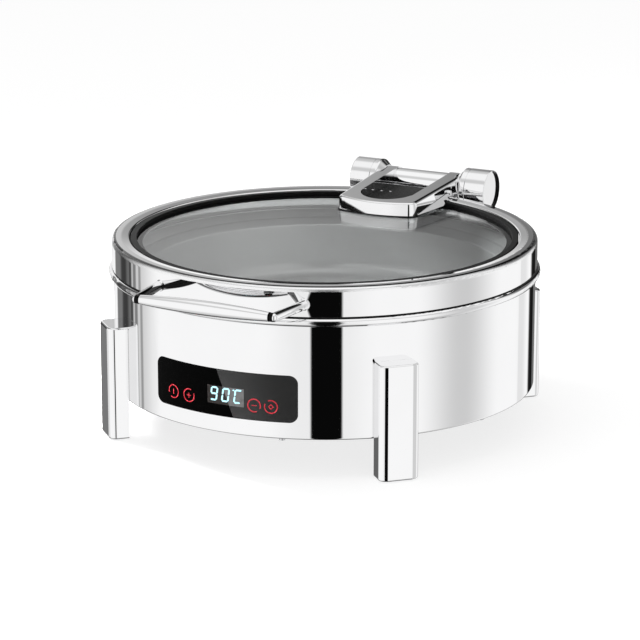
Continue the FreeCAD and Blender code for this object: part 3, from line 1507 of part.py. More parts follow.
def food_pan():
    top = PAN_TOP_Z
    ledge = top - PAN_LEDGE_DROP
    path = [
        (PAN_RIM_R, PAN_BOTTOM_EDGE_Z, 0),
        (PAN_RIM_R, top, PAN_RIM_EDGE),
        (PAN_RIM_R - PAN_RIM_LAND, top, PAN_RIM_EDGE),
        (PAN_LEDGE_R, ledge, PAN_LEDGE_BEND),
        (PAN_LEDGE_R - PAN_LEDGE_FLAT, ledge - PAN_LEDGE_FALL, PAN_LEDGE_BEND),
        (PAN_MOUTH_R, top - PAN_MOUTH_DROP, PAN_MOUTH_BEND),
        (PAN_FLOOR_R, top - PAN_DEPTH, PAN_CORNER),
        (0, top - PAN_DEPTH, 0),
    ]
    return spun(thickened(path, PAN_SHEET))


def main():
    os.makedirs("parts", exist_ok=True)
    for name, make in (
        ("body_shell", body_shell),
        ("rim_ring", rim_ring),
        ("rim_seal", rim_seal),
        ("base_plate", base_plate),
        ("base_screws", base_screws),
        ("foot_pads", foot_pads),
        ("leg_screws", leg_screws),
        ("water_pan", water_pan),
        ("heat_plate", heat_plate),
        ("heating_element", heating_element),
        ("heat_shield", heat_shield),
        ("shield_posts", shield_posts),
        ("temperature_sensor", temperature_sensor),
        ("thermal_cutout", thermal_cutout),
        ("panel_glass", panel_glass),
        ("panel_carrier", panel_carrier),
        ("touch_icons", touch_icons),
        ("touch_pads", touch_pads),
        ("control_board", control_board),
        ("board_posts", board_posts),
        ("display_module", display_module),
        ("power_board", power_board),
        ("relay", relay),
        ("transformer", transformer),
        ("inlet_socket", inlet_socket),
        ("inlet_pins", inlet_pins),
        ("inlet_screws", inlet_screws),
        ("mains_leads", mains_leads),
        ("heater_leads", heater_leads),
        ("signal_cable", signal_cable),
        ("lid_frame", lid_frame),
        ("glass_gasket", glass_gasket),
        ("lid_glass", lid_glass),
        ("handle_grip", handle_grip),
        ("handle_screws", handle_screws),
        ("hinge_arm", hinge_arm),
        ("arm_pad", arm_pad),
        ("backing_plate", backing_plate),
        ("arm_screws", arm_screws),
        ("side_pins", side_pins),
        ("hinge_shaft", hinge_shaft),
        ("left_hinge_housing", left_hinge_housing),
        ("right_hinge_housing", right_hinge_housing),
        ("hinge_sleeve", hinge_sleeve),
        ("hinge_bushes", hinge_bushes),
        ("damper_rotor", damper_rotor),
        ("torsion_spring", torsion_spring),
        ("spring_anchor", spring_anchor),
        ("stand_screws", stand_screws),
        ("food_pan", food_pan),
    ):
        save(make(), name)
    one_leg = leg()
    for name, angle in (
        ("leg_front_right", LEG_ANGLE),
        ("leg_rear_right", 180 - LEG_ANGLE),
        ("leg_rear_left", 180 + LEG_ANGLE),
        ("leg_front_left", -LEG_ANGLE),
    ):
        save(turned(one_leg, angle), name)
    for name, make in (("handle_arm", handle_arm), ("hinge_stand", hinge_stand)):
        right = make()
        save(right, name + "_right")
        save(mirrored_x(right), name + "_left")
    cap = end_cap()
    save(cap, "right_end_cap")
    save(mirrored_x(cap), "left_end_cap")


main()
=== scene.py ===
# %% [markdown]
# # An electric chafing dish, dressed in Blender
# The solid model of the dish comes in as a fixed frame: every solid already has its place and its size.
# What is left to do here is what a solid modeller doesn't give: the studio, the camera, the finish of
# every metal, glass and rubber, and the small things that are too thin or too fine for the solid model.
# Work through the cells from the top. Each code cell prints what it made.

# %% The frame
import math

import bpy
import numpy as np
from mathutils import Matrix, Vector


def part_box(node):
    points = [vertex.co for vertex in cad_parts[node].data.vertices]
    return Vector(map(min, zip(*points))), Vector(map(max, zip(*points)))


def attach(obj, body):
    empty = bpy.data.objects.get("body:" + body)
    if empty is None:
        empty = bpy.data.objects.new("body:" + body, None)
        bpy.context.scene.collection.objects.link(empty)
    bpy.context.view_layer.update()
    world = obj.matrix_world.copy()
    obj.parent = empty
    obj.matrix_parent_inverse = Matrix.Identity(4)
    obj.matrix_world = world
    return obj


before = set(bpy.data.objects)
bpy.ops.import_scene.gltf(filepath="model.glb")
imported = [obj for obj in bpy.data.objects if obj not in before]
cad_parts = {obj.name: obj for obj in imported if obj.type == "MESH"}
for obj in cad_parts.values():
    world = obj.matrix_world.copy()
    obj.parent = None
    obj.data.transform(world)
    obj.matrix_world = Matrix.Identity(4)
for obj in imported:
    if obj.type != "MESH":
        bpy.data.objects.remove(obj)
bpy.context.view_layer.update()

MM = 0.001  # metres in one millimetre
TO_MM = 1000.0  # millimetres in one metre
TO_DEGREES = 180 / math.pi

# %% [markdown]
# ## The camera
# The dish was seen from its front right, from a little above, with a long lens: the ellipses of the lid
# and of the body are nearly equally flat, which only a distant camera gives. A camera is fully described
# by where it stands, the point it looks at and its lens, so those three are all that is written here.

# %% The camera
CAMERA_AT = Vector((1.28534, -2.58811, 0.90446))
CAMERA_LOOKS_AT = Vector((-0.00404, -0.00202, 0.09848))
CAMERA_LENS = 167.29
SENSOR = 36.0

camera_data = bpy.data.cameras.new("camera")
camera_data.lens, camera_data.sensor_width = CAMERA_LENS, SENSOR
camera = bpy.data.objects.new("camera", camera_data)
bpy.context.scene.collection.objects.link(camera)
camera.location = CAMERA_AT
camera.rotation_euler = (CAMERA_LOOKS_AT - CAMERA_AT).to_track_quat("-Z", "Y").to_euler()
bpy.context.scene.camera = camera
print("camera", round((CAMERA_AT - CAMERA_LOOKS_AT).length, 3), "m away, lens", CAMERA_LENS, "mm")

# %% [markdown]
# ## Small helpers for node trees
# Shader trees are easier to read when a line of code makes one node and says what feeds it. `node` does
# that. `do` makes one Math node. A group is a tree with named inputs and outputs, which is placed in each
# material with its own values: in Blender 4.5 its sockets are made with `interface.new_socket`.

# %% Making nodes and groups
def node(tree, kind, feeds=None, **settings):
    """One node of a tree. feeds gives a value or an output for each named or numbered input."""
    made = tree.nodes.new(kind)
    for name, value in settings.items():
        setattr(made, name, value)
    for key, value in (feeds or {}).items():
        if isinstance(value, bpy.types.NodeSocket):
            tree.links.new(value, made.inputs[key])
        else:
            made.inputs[key].default_value = value
    return made


def find(tree, kind):
    """The node of a kind that a new material already has, such as its shader."""
    return next(n for n in tree.nodes if n.type == kind)


def group(name, inputs, outputs):
    """A node group and its two end nodes. inputs: (name, kind, value); outputs: (name, kind)."""
    tree = bpy.data.node_groups.new(name, "ShaderNodeTree")
    for label, kind, value in inputs:
        socket = tree.interface.new_socket(label, in_out="INPUT", socket_type="NodeSocket" + kind)
        if value is not None:
            socket.default_value = value
    for label, kind in outputs:
        tree.interface.new_socket(label, in_out="OUTPUT", socket_type="NodeSocket" + kind)
    return tree, tree.nodes.new("NodeGroupInput").outputs, tree.nodes.new("NodeGroupOutput").inputs


def place(tree, made_group, feeds):
    """A group placed in a tree, with its own values. Gives its outputs."""
    return node(tree, "ShaderNodeGroup", feeds, node_tree=made_group).outputs


# %% Counting with nodes
def do(tree, operation, *values):
    """The output of a Math node: operation applied to the values, in order."""
    return node(tree, "ShaderNodeMath", dict(enumerate(values)), operation=operation).outputs[0]


def times(tree, product, *others):
    """The product of all the values, with one Math node for each value after the first."""
    for value in others:
        product = do(tree, "MULTIPLY", product, value)
    return product


def flip(tree, value):
    """One less the value, which turns a share of shade into a share of light."""
    return do(tree, "SUBTRACT", 1.0, value)


def fade(tree, value, start, end, low=0.0, high=1.0):
    """low up to start, high from end on, and a smooth S between them."""
    made = node(
        tree,
        "ShaderNodeMapRange",
        {"Value": value, "From Min": start, "From Max": end, "To Min": low, "To Max": high},
        interpolation_type="SMOOTHSTEP",
    )
    return made.outputs["Result"]


def between(tree, value, low, high, soft):
    """1 where value is between low and high, with edges that are soft wide on both sides."""
    over = fade(tree, value, low - soft, low + soft)
    return times(tree, over, fade(tree, value, high - soft, high + soft, 1.0, 0.0))


# %% Measuring a direction or a place with nodes
def split(tree, vector):
    """The X, Y and Z of a vector."""
    return node(tree, "ShaderNodeSeparateXYZ", {0: vector}).outputs


def from_front(tree, sides):
    """The angle round the upright axis in degrees: 0 in front of the dish, growing to its right."""
    forward = do(tree, "MULTIPLY", sides["Y"], -1.0)
    return times(tree, do(tree, "ARCTAN2", sides["X"], forward), TO_DEGREES)


def to_axis(tree, vector):
    """The distance to the upright axis in metres: the length of the vector without its Z."""
    flat = node(tree, "ShaderNodeVectorMath", {0: vector, 1: (1.0, 1.0, 0.0)}, operation="MULTIPLY")
    return node(tree, "ShaderNodeVectorMath", {0: flat.outputs[0]}, operation="LENGTH").outputs["Value"]


print("helpers for node trees defined")

# %% [markdown]
# ## The studio that the steel sees
# Polished steel has no colour of its own: it shows the room. A photographer lights such a pot in a white
# tent, and hangs a few black strips in it, so that the round body gets dark lines to be read by. The real
# room could be built from cards, but cards cast shadows and get in the way of other views, so the room is
# the world itself: a brightness worked out from the direction of the ray. Matte things get plain even
# light from the same world, and the camera sees it white.

# %% One hanging strip of the studio
strip, strip_in, strip_out = group(
    "studio_strip",
    [
        ("Angle", "Float", 0.0),
        ("Centre", "Float", 0.0),
        ("Half", "Float", 5.0),
        ("Soft", "Float", 2.0),
        ("Dark", "Float", 1.0),
    ],
    [("Light", "Float")],
)
# The difference is wrapped to -180 to 180 degrees, so that a strip can hang right behind the dish.
off_centre = do(strip, "SUBTRACT", strip_in["Angle"], strip_in["Centre"])
away = do(strip, "ABSOLUTE", do(strip, "WRAP", off_centre, 180.0, -180.0))
strip_edge = do(strip, "ADD", strip_in["Half"], strip_in["Soft"])
covered = fade(strip, away, strip_in["Half"], strip_edge, 1.0, 0.0)
strip.links.new(flip(strip, times(strip, covered, strip_in["Dark"])), strip_out["Light"])
print("a strip is", len(strip.nodes), "nodes")

# %% Where the strips hang
# Each strip: its direction round the dish in degrees from the front, half its width, how soft its edge
# is and how much light it takes away.
STRIPS = [
    (27.5, 7.6, 1.6, 0.997),  # the sharp black strip beside the camera
    (24.0, 10.0, 22.0, 0.10),  # the grey that it spills
    (106.0, 1.0, 30.0, 0.36),  # a grey shade on the right
    (162.0, 1.0, 9.0, 0.18),
    (180.5, 3.5, 4.0, 0.975),  # the black edge right behind
    (-170.5, 4.0, 14.0, 0.84),
    (-140.0, 2.0, 9.0, 0.10),
    (-114.5, 12.0, 3.5, 0.80),  # the dark gap on the left, with a few lines in it
    (-111.6, 2.0, 5.0, 0.74),
    (-101.8, 0.6, 1.7, 0.62),
    (-97.0, 0.8, 2.0, 0.66),
    (-91.2, 0.5, 1.5, 0.50),
    (-95.0, 3.0, 20.0, 0.34),
]
STRIPS_END = (34.0, 60.0)  # degrees above the horizon, between which the strips fade out

world = bpy.data.worlds.new("studio")
bpy.context.scene.world = world
world.use_nodes = True
room = world.node_tree
room.nodes.clear()
way = split(room, node(room, "ShaderNodeTexCoord").outputs["Generated"])
round_angle = from_front(room, way)
height = times(room, do(room, "ARCSINE", way["Z"]), TO_DEGREES)


def light_past(angle, centre, half, soft, dark):
    """The light that one strip leaves: all of it beside the strip, and 1 - dark behind it."""
    sizes = {"Centre": centre, "Half": half, "Soft": soft, "Dark": dark}
    return place(room, strip, {"Angle": angle, **sizes})["Light"]


light = times(room, 1.0, *[light_past(round_angle, *row) for row in STRIPS])
high = fade(room, height, *STRIPS_END)
light = do(room, "ADD", high, times(room, light, flip(room, high)))
print("the studio has", len(STRIPS), "strips")

# %% Shades that go with the height
# Behind the dish the tent leaves a band open, grey and then black, which the flat glass and every upper
# edge of the steel show. The roof is bright, with one soft grey seam. The table is dark right under the
# dish. A fade is written as the two heights in degrees and the two values there.
BAND_GREY = (2.0, 15.0, 0.0, 0.82)
BAND_BLACK = (24.0, 31.0, 0.0, 0.17)
BAND_ENDS = (36.0, 50.0, 1.0, 0.0)
BAND_BEHIND = (178.0, 21.0, 24.0, 0.98)  # a strip, round the dish
ROOF_SEAM = (49.0, 3.0, 11.0, 0.34)  # a strip too, but over the height
TABLE_SHADES = [(-52.0, -28.0, 0.72, 1.0), (-78.0, -54.0, 0.03, 1.0)]

band = do(room, "ADD", fade(room, height, *BAND_GREY), fade(room, height, *BAND_BLACK))
band_behind = flip(room, light_past(round_angle, *BAND_BEHIND))
band = times(room, band, fade(room, height, *BAND_ENDS), band_behind)
table = [fade(room, height, *shade) for shade in TABLE_SHADES]
light = times(room, light, flip(room, band), light_past(height, *ROOF_SEAM), *table)
print("the room's brightness takes", len(room.nodes), "nodes")

# %% What each kind of ray sees
EVEN_LIGHT = 0.62

path = node(room, "ShaderNodeLightPath").outputs
mirrored = do(room, "MAXIMUM", path["Is Glossy Ray"], path["Is Transmission Ray"])
for_matte = times(room, flip(room, mirrored), EVEN_LIGHT)
seen = do(room, "ADD", times(room, mirrored, light), for_matte)
seen = do(room, "MAXIMUM", seen, path["Is Camera Ray"])
white = node(room, "ShaderNodeCombineColor", {0: seen, 1: seen, 2: seen})
backdrop = node(room, "ShaderNodeBackground", {"Color": white.outputs[0], "Strength": 1.0})
node(room, "ShaderNodeOutputWorld", {"Surface": backdrop.outputs[0]})
print("matte things get an even light of", EVEN_LIGHT)

# %% [markdown]
# ## Lamps and floor
# The even world light has no direction, so matte parts would look flat. Two large soft lamps give them a
# lit side, and a small one close by on the left lights the floor of the pan through the glass. All are
# hidden from mirrors, because the steel already has its room. The floor is plain and pale: for the camera
# it adds a little light of its own, so that it is as white as the background and still takes the soft
# shadow of the dish.

# %% Lamps
LAMPS_LOOK_AT = Vector((0, 0, 0.1))


def soft_lamp(name, at, size, watts):
    """A square lamp of the given side that points at the middle of the dish."""
    lamp = bpy.data.lights.new(name, "AREA")
    lamp.shape, lamp.size, lamp.energy = "SQUARE", size, watts
    thing = bpy.data.objects.new(name, lamp)
    bpy.context.scene.collection.objects.link(thing)
    thing.location = at
    thing.rotation_euler = (LAMPS_LOOK_AT - Vector(at)).to_track_quat("-Z", "Y").to_euler()
    thing.visible_glossy = thing.visible_camera = thing.visible_transmission = False


soft_lamp("lamp_above", (-0.6, -0.5, 2.6), 1.8, 20.0)
soft_lamp("lamp_front", (1.6, -2.2, 1.2), 1.6, 6.0)
soft_lamp("lamp_left", (-0.55, 0.06, 0.5), 0.35, 26.0)
print("three soft lamps")

# %% Floor
FLOOR_SIDE = 12.0
corners = np.array([(-1, -1, 0), (1, -1, 0), (1, 1, 0), (-1, 1, 0)], float) * FLOOR_SIDE / 2
floor_mesh = bpy.data.meshes.new("floor")
floor_mesh.from_pydata(corners.tolist(), [], [(0, 1, 2, 3)])
floor = bpy.data.objects.new("floor", floor_mesh)
bpy.context.scene.collection.objects.link(floor)
floor.visible_glossy = False
print("a floor of", FLOOR_SIDE, "m")

# %% Its paper
PAPER, PAPER_SEEN, PAPER_LIGHT = 0.8, 0.34, 0.74  # its tone, its tone for the camera, the light it adds

floor_paint = bpy.data.materials.new("floor_paper")
floor_paint.use_nodes = True
paper = floor_paint.node_tree
paper.nodes.clear()
matte = node(paper, "ShaderNodeBsdfDiffuse", {"Color": (PAPER, PAPER, PAPER, 1)})
dim = node(paper, "ShaderNodeBsdfDiffuse", {"Color": (PAPER_SEEN, PAPER_SEEN, PAPER_SEEN, 1)})
own = node(paper, "ShaderNodeEmission", {"Color": (1, 1, 1, 1), "Strength": PAPER_LIGHT})
for_camera = node(paper, "ShaderNodeAddShader", {0: dim.outputs[0], 1: own.outputs[0]})
is_camera = node(paper, "ShaderNodeLightPath").outputs["Is Camera Ray"]
floor_mix = node(paper, "ShaderNodeMixShader", {0: is_camera, 1: matte.outputs[0], 2: for_camera.outputs[0]})
node(paper, "ShaderNodeOutputMaterial", {"Surface": floor_mix.outputs[0]})
floor_mesh.materials.append(floor_paint)
print("the floor is", floor_paint.name)

# %% [markdown]
# ## Patterns that several finishes share
# Real metal is never even: it is wiped, so its gloss has soft clouds, and it is polished or brushed, so
# it has fine lines. Four groups hold those patterns. Each gives a value between 0 and 1, which a material
# then turns into a roughness, a colour or a height of its own.

# %% Soft clouds of wiping
haze, haze_in, haze_out = group(
    "wiped_haze",
    [("Vector", "Vector", None), ("Scale", "Float", 18.0)],
    [("Value", "Float")],
)
cloud_feeds = {"Vector": haze_in["Vector"], "Scale": haze_in["Scale"], "Detail": 4.0, "Roughness": 0.6}
clouds = node(haze, "ShaderNodeTexNoise", cloud_feeds)
haze.links.new(fade(haze, clouds.outputs[0], 0.32, 0.7), haze_out["Value"])
print("pattern:", haze.name)

# %% Fine lines along one direction
# The vector is stretched before it reaches the noise, so that its spots become long lines.
lines, lines_in, lines_out = group(
    "polish_lines",
    [("Vector", "Vector", None), ("Stretch", "Vector", (1.0, 1.0, 0.04)), ("Scale", "Float", 1400.0)],
    [("Value", "Float")],
)
stretch_feeds = {0: lines_in["Vector"], 1: lines_in["Stretch"]}
stretched = node(lines, "ShaderNodeVectorMath", stretch_feeds, operation="MULTIPLY")
streak_feeds = {"Vector": stretched.outputs[0], "Scale": lines_in["Scale"], "Detail": 2.0}
streaks = node(lines, "ShaderNodeTexNoise", streak_feeds)
lines.links.new(streaks.outputs[0], lines_out["Value"])
print("pattern:", lines.name)

# %% Rings left by spinning
# A drawn pan is polished while it turns, so its lines are circles: a noise over the distance to the axis
# and the height, which has one dimension only.
rings, rings_in, rings_out = group(
    "spun_rings",
    [("Vector", "Vector", None), ("Per metre", "Float", 1500.0)],
    [("Value", "Float")],
)
from_axis = to_axis(rings, rings_in["Vector"])
climbed = do(rings, "ADD", from_axis, split(rings, rings_in["Vector"])["Z"])
ring_feeds = {"W": times(rings, climbed, rings_in["Per metre"]), "Scale": 1.0, "Detail": 3.0}
ring_noise = node(rings, "ShaderNodeTexNoise", ring_feeds, noise_dimensions="1D")
rings.links.new(ring_noise.outputs[0], rings_out["Value"])
print("pattern:", rings.name)

# %% Grain of moulded and printed surfaces
grain, grain_in, grain_out = group(
    "fine_grain",
    [("Vector", "Vector", None), ("Scale", "Float", 1600.0)],
    [("Value", "Float")],
)
speck_feeds = {"Vector": grain_in["Vector"], "Scale": grain_in["Scale"], "Detail": 3.0}
specks = node(grain, "ShaderNodeTexNoise", speck_feeds)
grain.links.new(fade(grain, specks.outputs[0], 0.3, 0.7), grain_out["Value"])
print("pattern:", grain.name)

# %% [markdown]
# ## Where a point lies round the dish
# Three numbers say where a point is on a round object: the angle from the front in degrees, the height
# and the distance to the upright axis, both in millimetres. Masks for a seam, a shoulder or a line on the
# panel are made from them, so they hold on every piece whatever its mesh is like.

# %% The place group
lie, lie_in, lie_out = group(
    "round_place",
    [("Vector", "Vector", None)],
    [("Angle", "Float"), ("Up", "Float"), ("Radius", "Float")],
)
sides = split(lie, lie_in["Vector"])
lie.links.new(from_front(lie, sides), lie_out["Angle"])
lie.links.new(times(lie, sides["Z"], TO_MM), lie_out["Up"])
lie.links.new(times(lie, to_axis(lie, lie_in["Vector"]), TO_MM), lie_out["Radius"])
print("place group:", lie.name)

# %% [markdown]
# ## A finish
# Every finish below has the same build: one Principled shader, a pattern that moves its roughness between
# two values, the same pattern or another that moves its colour between two tones, and a low bump. What is
# the same all over the surface is set on the shader itself. A mask can then lay a dark tone over a part
# of the finish, or make that part duller.

# %% The start of every finish
def finish(name, **plain):
    """A material with one Principled shader. Gives the tree, the shader and the object coordinates."""
    material = bpy.data.materials.new(name)
    material.use_nodes = True
    tree = material.node_tree
    shader = find(tree, "BSDF_PRINCIPLED")
    for socket, value in plain.items():
        shader.inputs[socket.replace("_", " ")].default_value = value
    return material, tree, shader, node(tree, "ShaderNodeTexCoord").outputs["Object"]


def tones(tree, value, dark, light):
    """A colour that goes from dark to light as value goes from 0 to 1. Each is a tone or an output."""
    ends = [c if isinstance(c, bpy.types.NodeSocket) else (*c, 1.0) for c in (dark, light)]
    mix = node(tree, "ShaderNodeMix", {"Factor": value, "A": ends[0], "B": ends[1]}, data_type="RGBA")
    return mix.outputs["Result"]


def wear_in(tree, shader, value, dark, light, rough, bump=0.0, height=0.0001):
    """Feeds one pattern into the colour, the roughness and a bump of a shader."""
    tree.links.new(tones(tree, value, dark, light), shader.inputs["Base Color"])
    tree.links.new(fade(tree, value, 0.0, 1.0, *rough), shader.inputs["Roughness"])
    if bump:
        relief = node(tree, "ShaderNodeBump", {"Strength": bump, "Distance": height, "Height": value})
        tree.links.new(relief.outputs["Normal"], shader.inputs["Normal"])


# %% A part of a finish, darker or duller
DARK_LINE = (0.01, 0.01, 0.01)


def masked(material, mask_of, socket):
    """The tree, the mask, and one input of the shader with what feeds it now."""
    tree = material.node_tree
    mask = mask_of(tree, node(tree, "ShaderNodeTexCoord").outputs["Object"])
    fed = find(tree, "BSDF_PRINCIPLED").inputs[socket]
    return tree, mask, fed, fed.links[0].from_socket


def darken(material, mask_of):
    """Lays a dark tone over a finish where mask_of(tree, coordinates) is 1."""
    tree, mask, fed, tone = masked(material, mask_of, "Base Color")
    tree.links.new(tones(tree, mask, tone, DARK_LINE), fed)
    return material


def dull(material, mask_of, rough):
    """Makes a finish at least as rough as rough where mask_of(tree, coordinates) is 1."""
    tree, mask, fed, gloss = masked(material, mask_of, "Roughness")
    tree.links.new(do(tree, "MAXIMUM", gloss, times(tree, mask, rough)), fed)
    return material


print("a finish has a shader, a pattern and, on some pieces, a mask")

# %% [markdown]
# ## The polished metals
# The shell, the lid ring and the legs are mirror-polished sheet. The arm and the hinge are castings,
# polished by hand, so their mirror is a little cloudier. A plain metallic shader would do for a drawing,
# but it looks like a computed ball: the clouds and the lines of polishing are what make it steel.

# %% Mirror-polished steel
# the third tone, for the hinge stands, is a painted dark reflection
STEEL, CAST, STAND_PAINTED_DARK = (0.93, 0.93, 0.935), (0.9, 0.9, 0.905), (0.16, 0.16, 0.165)
POLISHED, CAST_POLISH, DARK_POLISH = (0.015, 0.035), (0.03, 0.06), (0.08, 0.14)  # lowest, highest roughness
CAST_CLOUDS = 40.0  # a casting has smaller clouds than rolled sheet


def mirror_steel(name, tone, rough, scale=14.0):
    """Bright polished metal: nearly one tone, with soft clouds in its gloss."""
    material, tree, shader, at = finish(name, Metallic=1.0)
    wiped = place(tree, haze, {"Vector": at, "Scale": scale})["Value"]
    wear_in(tree, shader, wiped, [t * 0.985 for t in tone], tone, rough)
    polish = place(tree, lines, {"Vector": at})["Value"]
    relief = node(tree, "ShaderNodeBump", {"Strength": 0.03, "Distance": 0.00002, "Height": polish})
    tree.links.new(relief.outputs["Normal"], shader.inputs["Normal"])
    return material


polished_steel = mirror_steel("polished_steel", STEEL, POLISHED)
casting = mirror_steel("polished_casting", CAST, CAST_POLISH, CAST_CLOUDS)
# the hinge stands get a dark tone: a painted dark reflection
stand_painted_dark = mirror_steel("stand_painted_dark_reflection", STAND_PAINTED_DARK, DARK_POLISH, CAST_CLOUDS)
print("mirror finishes:", polished_steel.name, casting.name, stand_painted_dark.name)

# %% [markdown]
# ## Dark lines on the metal
# Some pieces get a dark line. The lid's ring is closed with a folded seam just outside its flat top, and
# the shade in that seam is painted on as a black line. Each hinge housing's cap has a dish with a painted
# dark reflection on its wall. Each arm of the handle starts with a black washer at the grip. A polishing
# wheel reaches the ring's shoulder and the rolled bead less evenly than a flat face, so these are a little
# duller. The places come from the boxes of the solids.

# %% The seam of the lid's ring, with its painted shade, and the shoulder
ring_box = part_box("lid_frame")
RING_R, RING_TOP = ring_box[1].x * TO_MM, ring_box[1].z * TO_MM
SEAM_IN, SEAM_OUT, SEAM_SOFT = RING_R - 4.8, RING_R - 2.4, 0.25
SEAM_UP = (RING_TOP - 2.6, RING_TOP - 2.2)
# how black the painted shade in the seam is
SEAM_SHADE = 0.93
SHOULDER_UP = (RING_TOP - 5.0, RING_TOP - 4.0)
SHOULDER_OUT = (SEAM_OUT - 0.6, SEAM_OUT + 0.2)
SHOULDER_ROUGH = 0.24


def seam_shade_mask(tree, at):
    """Painted shade in the folded seam of the lid's ring: a span of the radius, near the top only."""
    spot = place(tree, lie, {"Vector": at})
    line = between(tree, spot["Radius"], SEAM_IN, SEAM_OUT, SEAM_SOFT)
    return times(tree, fade(tree, spot["Up"], *SEAM_UP), line, SEAM_SHADE)


def shoulder_mask(tree, at):
    """The rounded shoulder of the lid's ring, outside the seam."""
    spot = place(tree, lie, {"Vector": at})
    return times(tree, fade(tree, spot["Up"], *SHOULDER_UP), fade(tree, spot["Radius"], *SHOULDER_OUT))


ring_steel = darken(mirror_steel("ring_steel", STEEL, POLISHED), seam_shade_mask)
dull(ring_steel, shoulder_mask, SHOULDER_ROUGH)
bead_steel = mirror_steel("bead_steel", STEEL, (0.07, 0.1))
print("ring radius", round(RING_R, 2), "mm, seam from", round(SEAM_IN, 2), "to", round(SEAM_OUT, 2))

# %% The dish of the end caps, with a painted dark reflection on its wall
cap_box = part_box("right_end_cap")
CAP_Y, CAP_Z = (cap_box[0].y + cap_box[1].y) / 2, (cap_box[0].z + cap_box[1].z) / 2
CAP_R, CAP_FACE = (cap_box[1].z - CAP_Z) * TO_MM, cap_box[1].x * TO_MM
DISH_WALL = (CAP_R - 1.75, CAP_R - 0.95)  # round the wall, which is 1.3 mm inside the rim
DISH_DEPTH = (CAP_FACE - 2.45, CAP_FACE - 2.25)  # down to the floor, 2.3 mm below the face


def dish_reflection_mask(tree, at):
    """Painted dark reflection on the wall of a cap's dish: a span of the distance to the axis, above the
    floor.
    """
    from_cap = node(tree, "ShaderNodeVectorMath", {0: at, 1: (0.0, CAP_Y, CAP_Z)}, operation="SUBTRACT")
    sides = split(tree, from_cap.outputs[0])
    squares = [do(tree, "POWER", sides[side], 2.0) for side in "YZ"]
    radius = times(tree, do(tree, "SQRT", do(tree, "ADD", *squares)), TO_MM)
    out = times(tree, do(tree, "ABSOLUTE", sides["X"]), TO_MM)
    return times(tree, between(tree, radius, *DISH_WALL, 0.06), fade(tree, out, *DISH_DEPTH))


# the wall of each cap's dish gets a painted dark reflection
cap_casting = darken(mirror_steel("cap_casting", CAST, CAST_POLISH, CAST_CLOUDS), dish_reflection_mask)
print("cap radius", round(CAP_R, 2), "mm")

# %% The washers of the handle
arm_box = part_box("handle_arm_right")
WASHER_START, WASHER_END = arm_box[0].x * TO_MM - 0.4, arm_box[0].x * TO_MM + 4.6


def washer_mask(tree, at):
    """The black washer between the grip and each of its arms."""
    side = do(tree, "ABSOLUTE", split(tree, at)["X"])
    return between(tree, times(tree, side, TO_MM), WASHER_START, WASHER_END, 0.1)


handle_steel = darken(mirror_steel("handle_steel", STEEL, POLISHED), washer_mask)
print("washers from", round(WASHER_START, 2), "to", round(WASHER_END, 2), "mm off the middle")

# %% [markdown]
# ## Satin and plain metals
# The two pans are only satin: they scatter the light and look grey through the glass. The hidden metals
# are left as the mill, the coiler or the stamping press gave them. They differ only in tone, gloss and
# pattern, so they stand in one table.

# %% Satin and plain metals
SPUN = {"Per metre": 1500.0}
# Darkest and lightest tone, lowest and highest roughness, the pattern and what it is fed, how metallic.
SATIN = {
    "pan_steel": ((0.74,) * 3, (0.82,) * 3, (0.2, 0.28), rings, SPUN, 0.85),
    "plain_steel": ((0.5, 0.5, 0.51), (0.62, 0.62, 0.63), (0.25, 0.4), lines, {"Scale": 900.0}),
    "spring_steel": ((0.32, 0.32, 0.34), (0.46, 0.46, 0.48), (0.2, 0.35), haze, {"Scale": 300.0}),
    "screw_steel": ((0.56, 0.56, 0.57), (0.7, 0.7, 0.71), (0.12, 0.25), haze, {"Scale": 500.0}),
    "aluminium_plate": ((0.6, 0.6, 0.61), (0.78, 0.78, 0.79), (0.35, 0.55), haze, {"Scale": 160.0}),
    "element_sheath": ((0.2, 0.19, 0.2), (0.4, 0.36, 0.32), (0.35, 0.5), haze, {"Scale": 60.0}),
    "brass_pins": ((0.7, 0.58, 0.3), (0.84, 0.74, 0.46), (0.15, 0.3), haze, {"Scale": 400.0}),
    "sensor_metal": ((0.5, 0.5, 0.51), (0.66, 0.66, 0.67), (0.25, 0.4), haze, {"Scale": 300.0}),
}


def satin_metal(name, dark, light, rough, pattern, feeds, metal=1.0):
    """Metal with the lines of its making, in colour, gloss and height. Below 1, metal lets some of the
    light scatter, as the fine grooves of a blasted surface do."""
    material, tree, shader, at = finish(name, Metallic=metal)
    value = place(tree, pattern, {"Vector": at, **feeds})["Value"]
    wear_in(tree, shader, value, dark, light, rough, 0.15, 0.00005)
    return material


satins = {name: satin_metal(name, *row) for name, row in SATIN.items()}
print(len(satins), "satin and plain metals")

# %% The food pan
# Its floor is blasted and duller than its walls. The sheet is 1 mm thick.
PAN_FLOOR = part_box("food_pan")[0].z * TO_MM + 1.0
FLOOR_ENDS = (PAN_FLOOR + 0.5, PAN_FLOOR + 9.0)
FLOOR_ROUGH = 0.6


def floor_mask(tree, at):
    """The floor of the food pan and the foot of its wall."""
    return fade(tree, place(tree, lie, {"Vector": at})["Up"], *FLOOR_ENDS, 1.0, 0.0)


food_steel = satin_metal("food_pan_steel", (0.48,) * 3, (0.58,) * 3, (0.28, 0.36), rings, SPUN, 0.7)
dull(food_steel, floor_mask, FLOOR_ROUGH)
print("the pan's floor is at", round(PAN_FLOOR, 2), "mm")

# %% [markdown]
# ## Rubber, plastic, foam and ink
# They are made with the grain group: a moulded part repeats the fine grain of its mould, and silicone has
# a duller, softer one. The colours stay a little above black, as real black rubber does. The red of the
# touch keys is printed, so it has the same kind of grain, only finer and flatter.

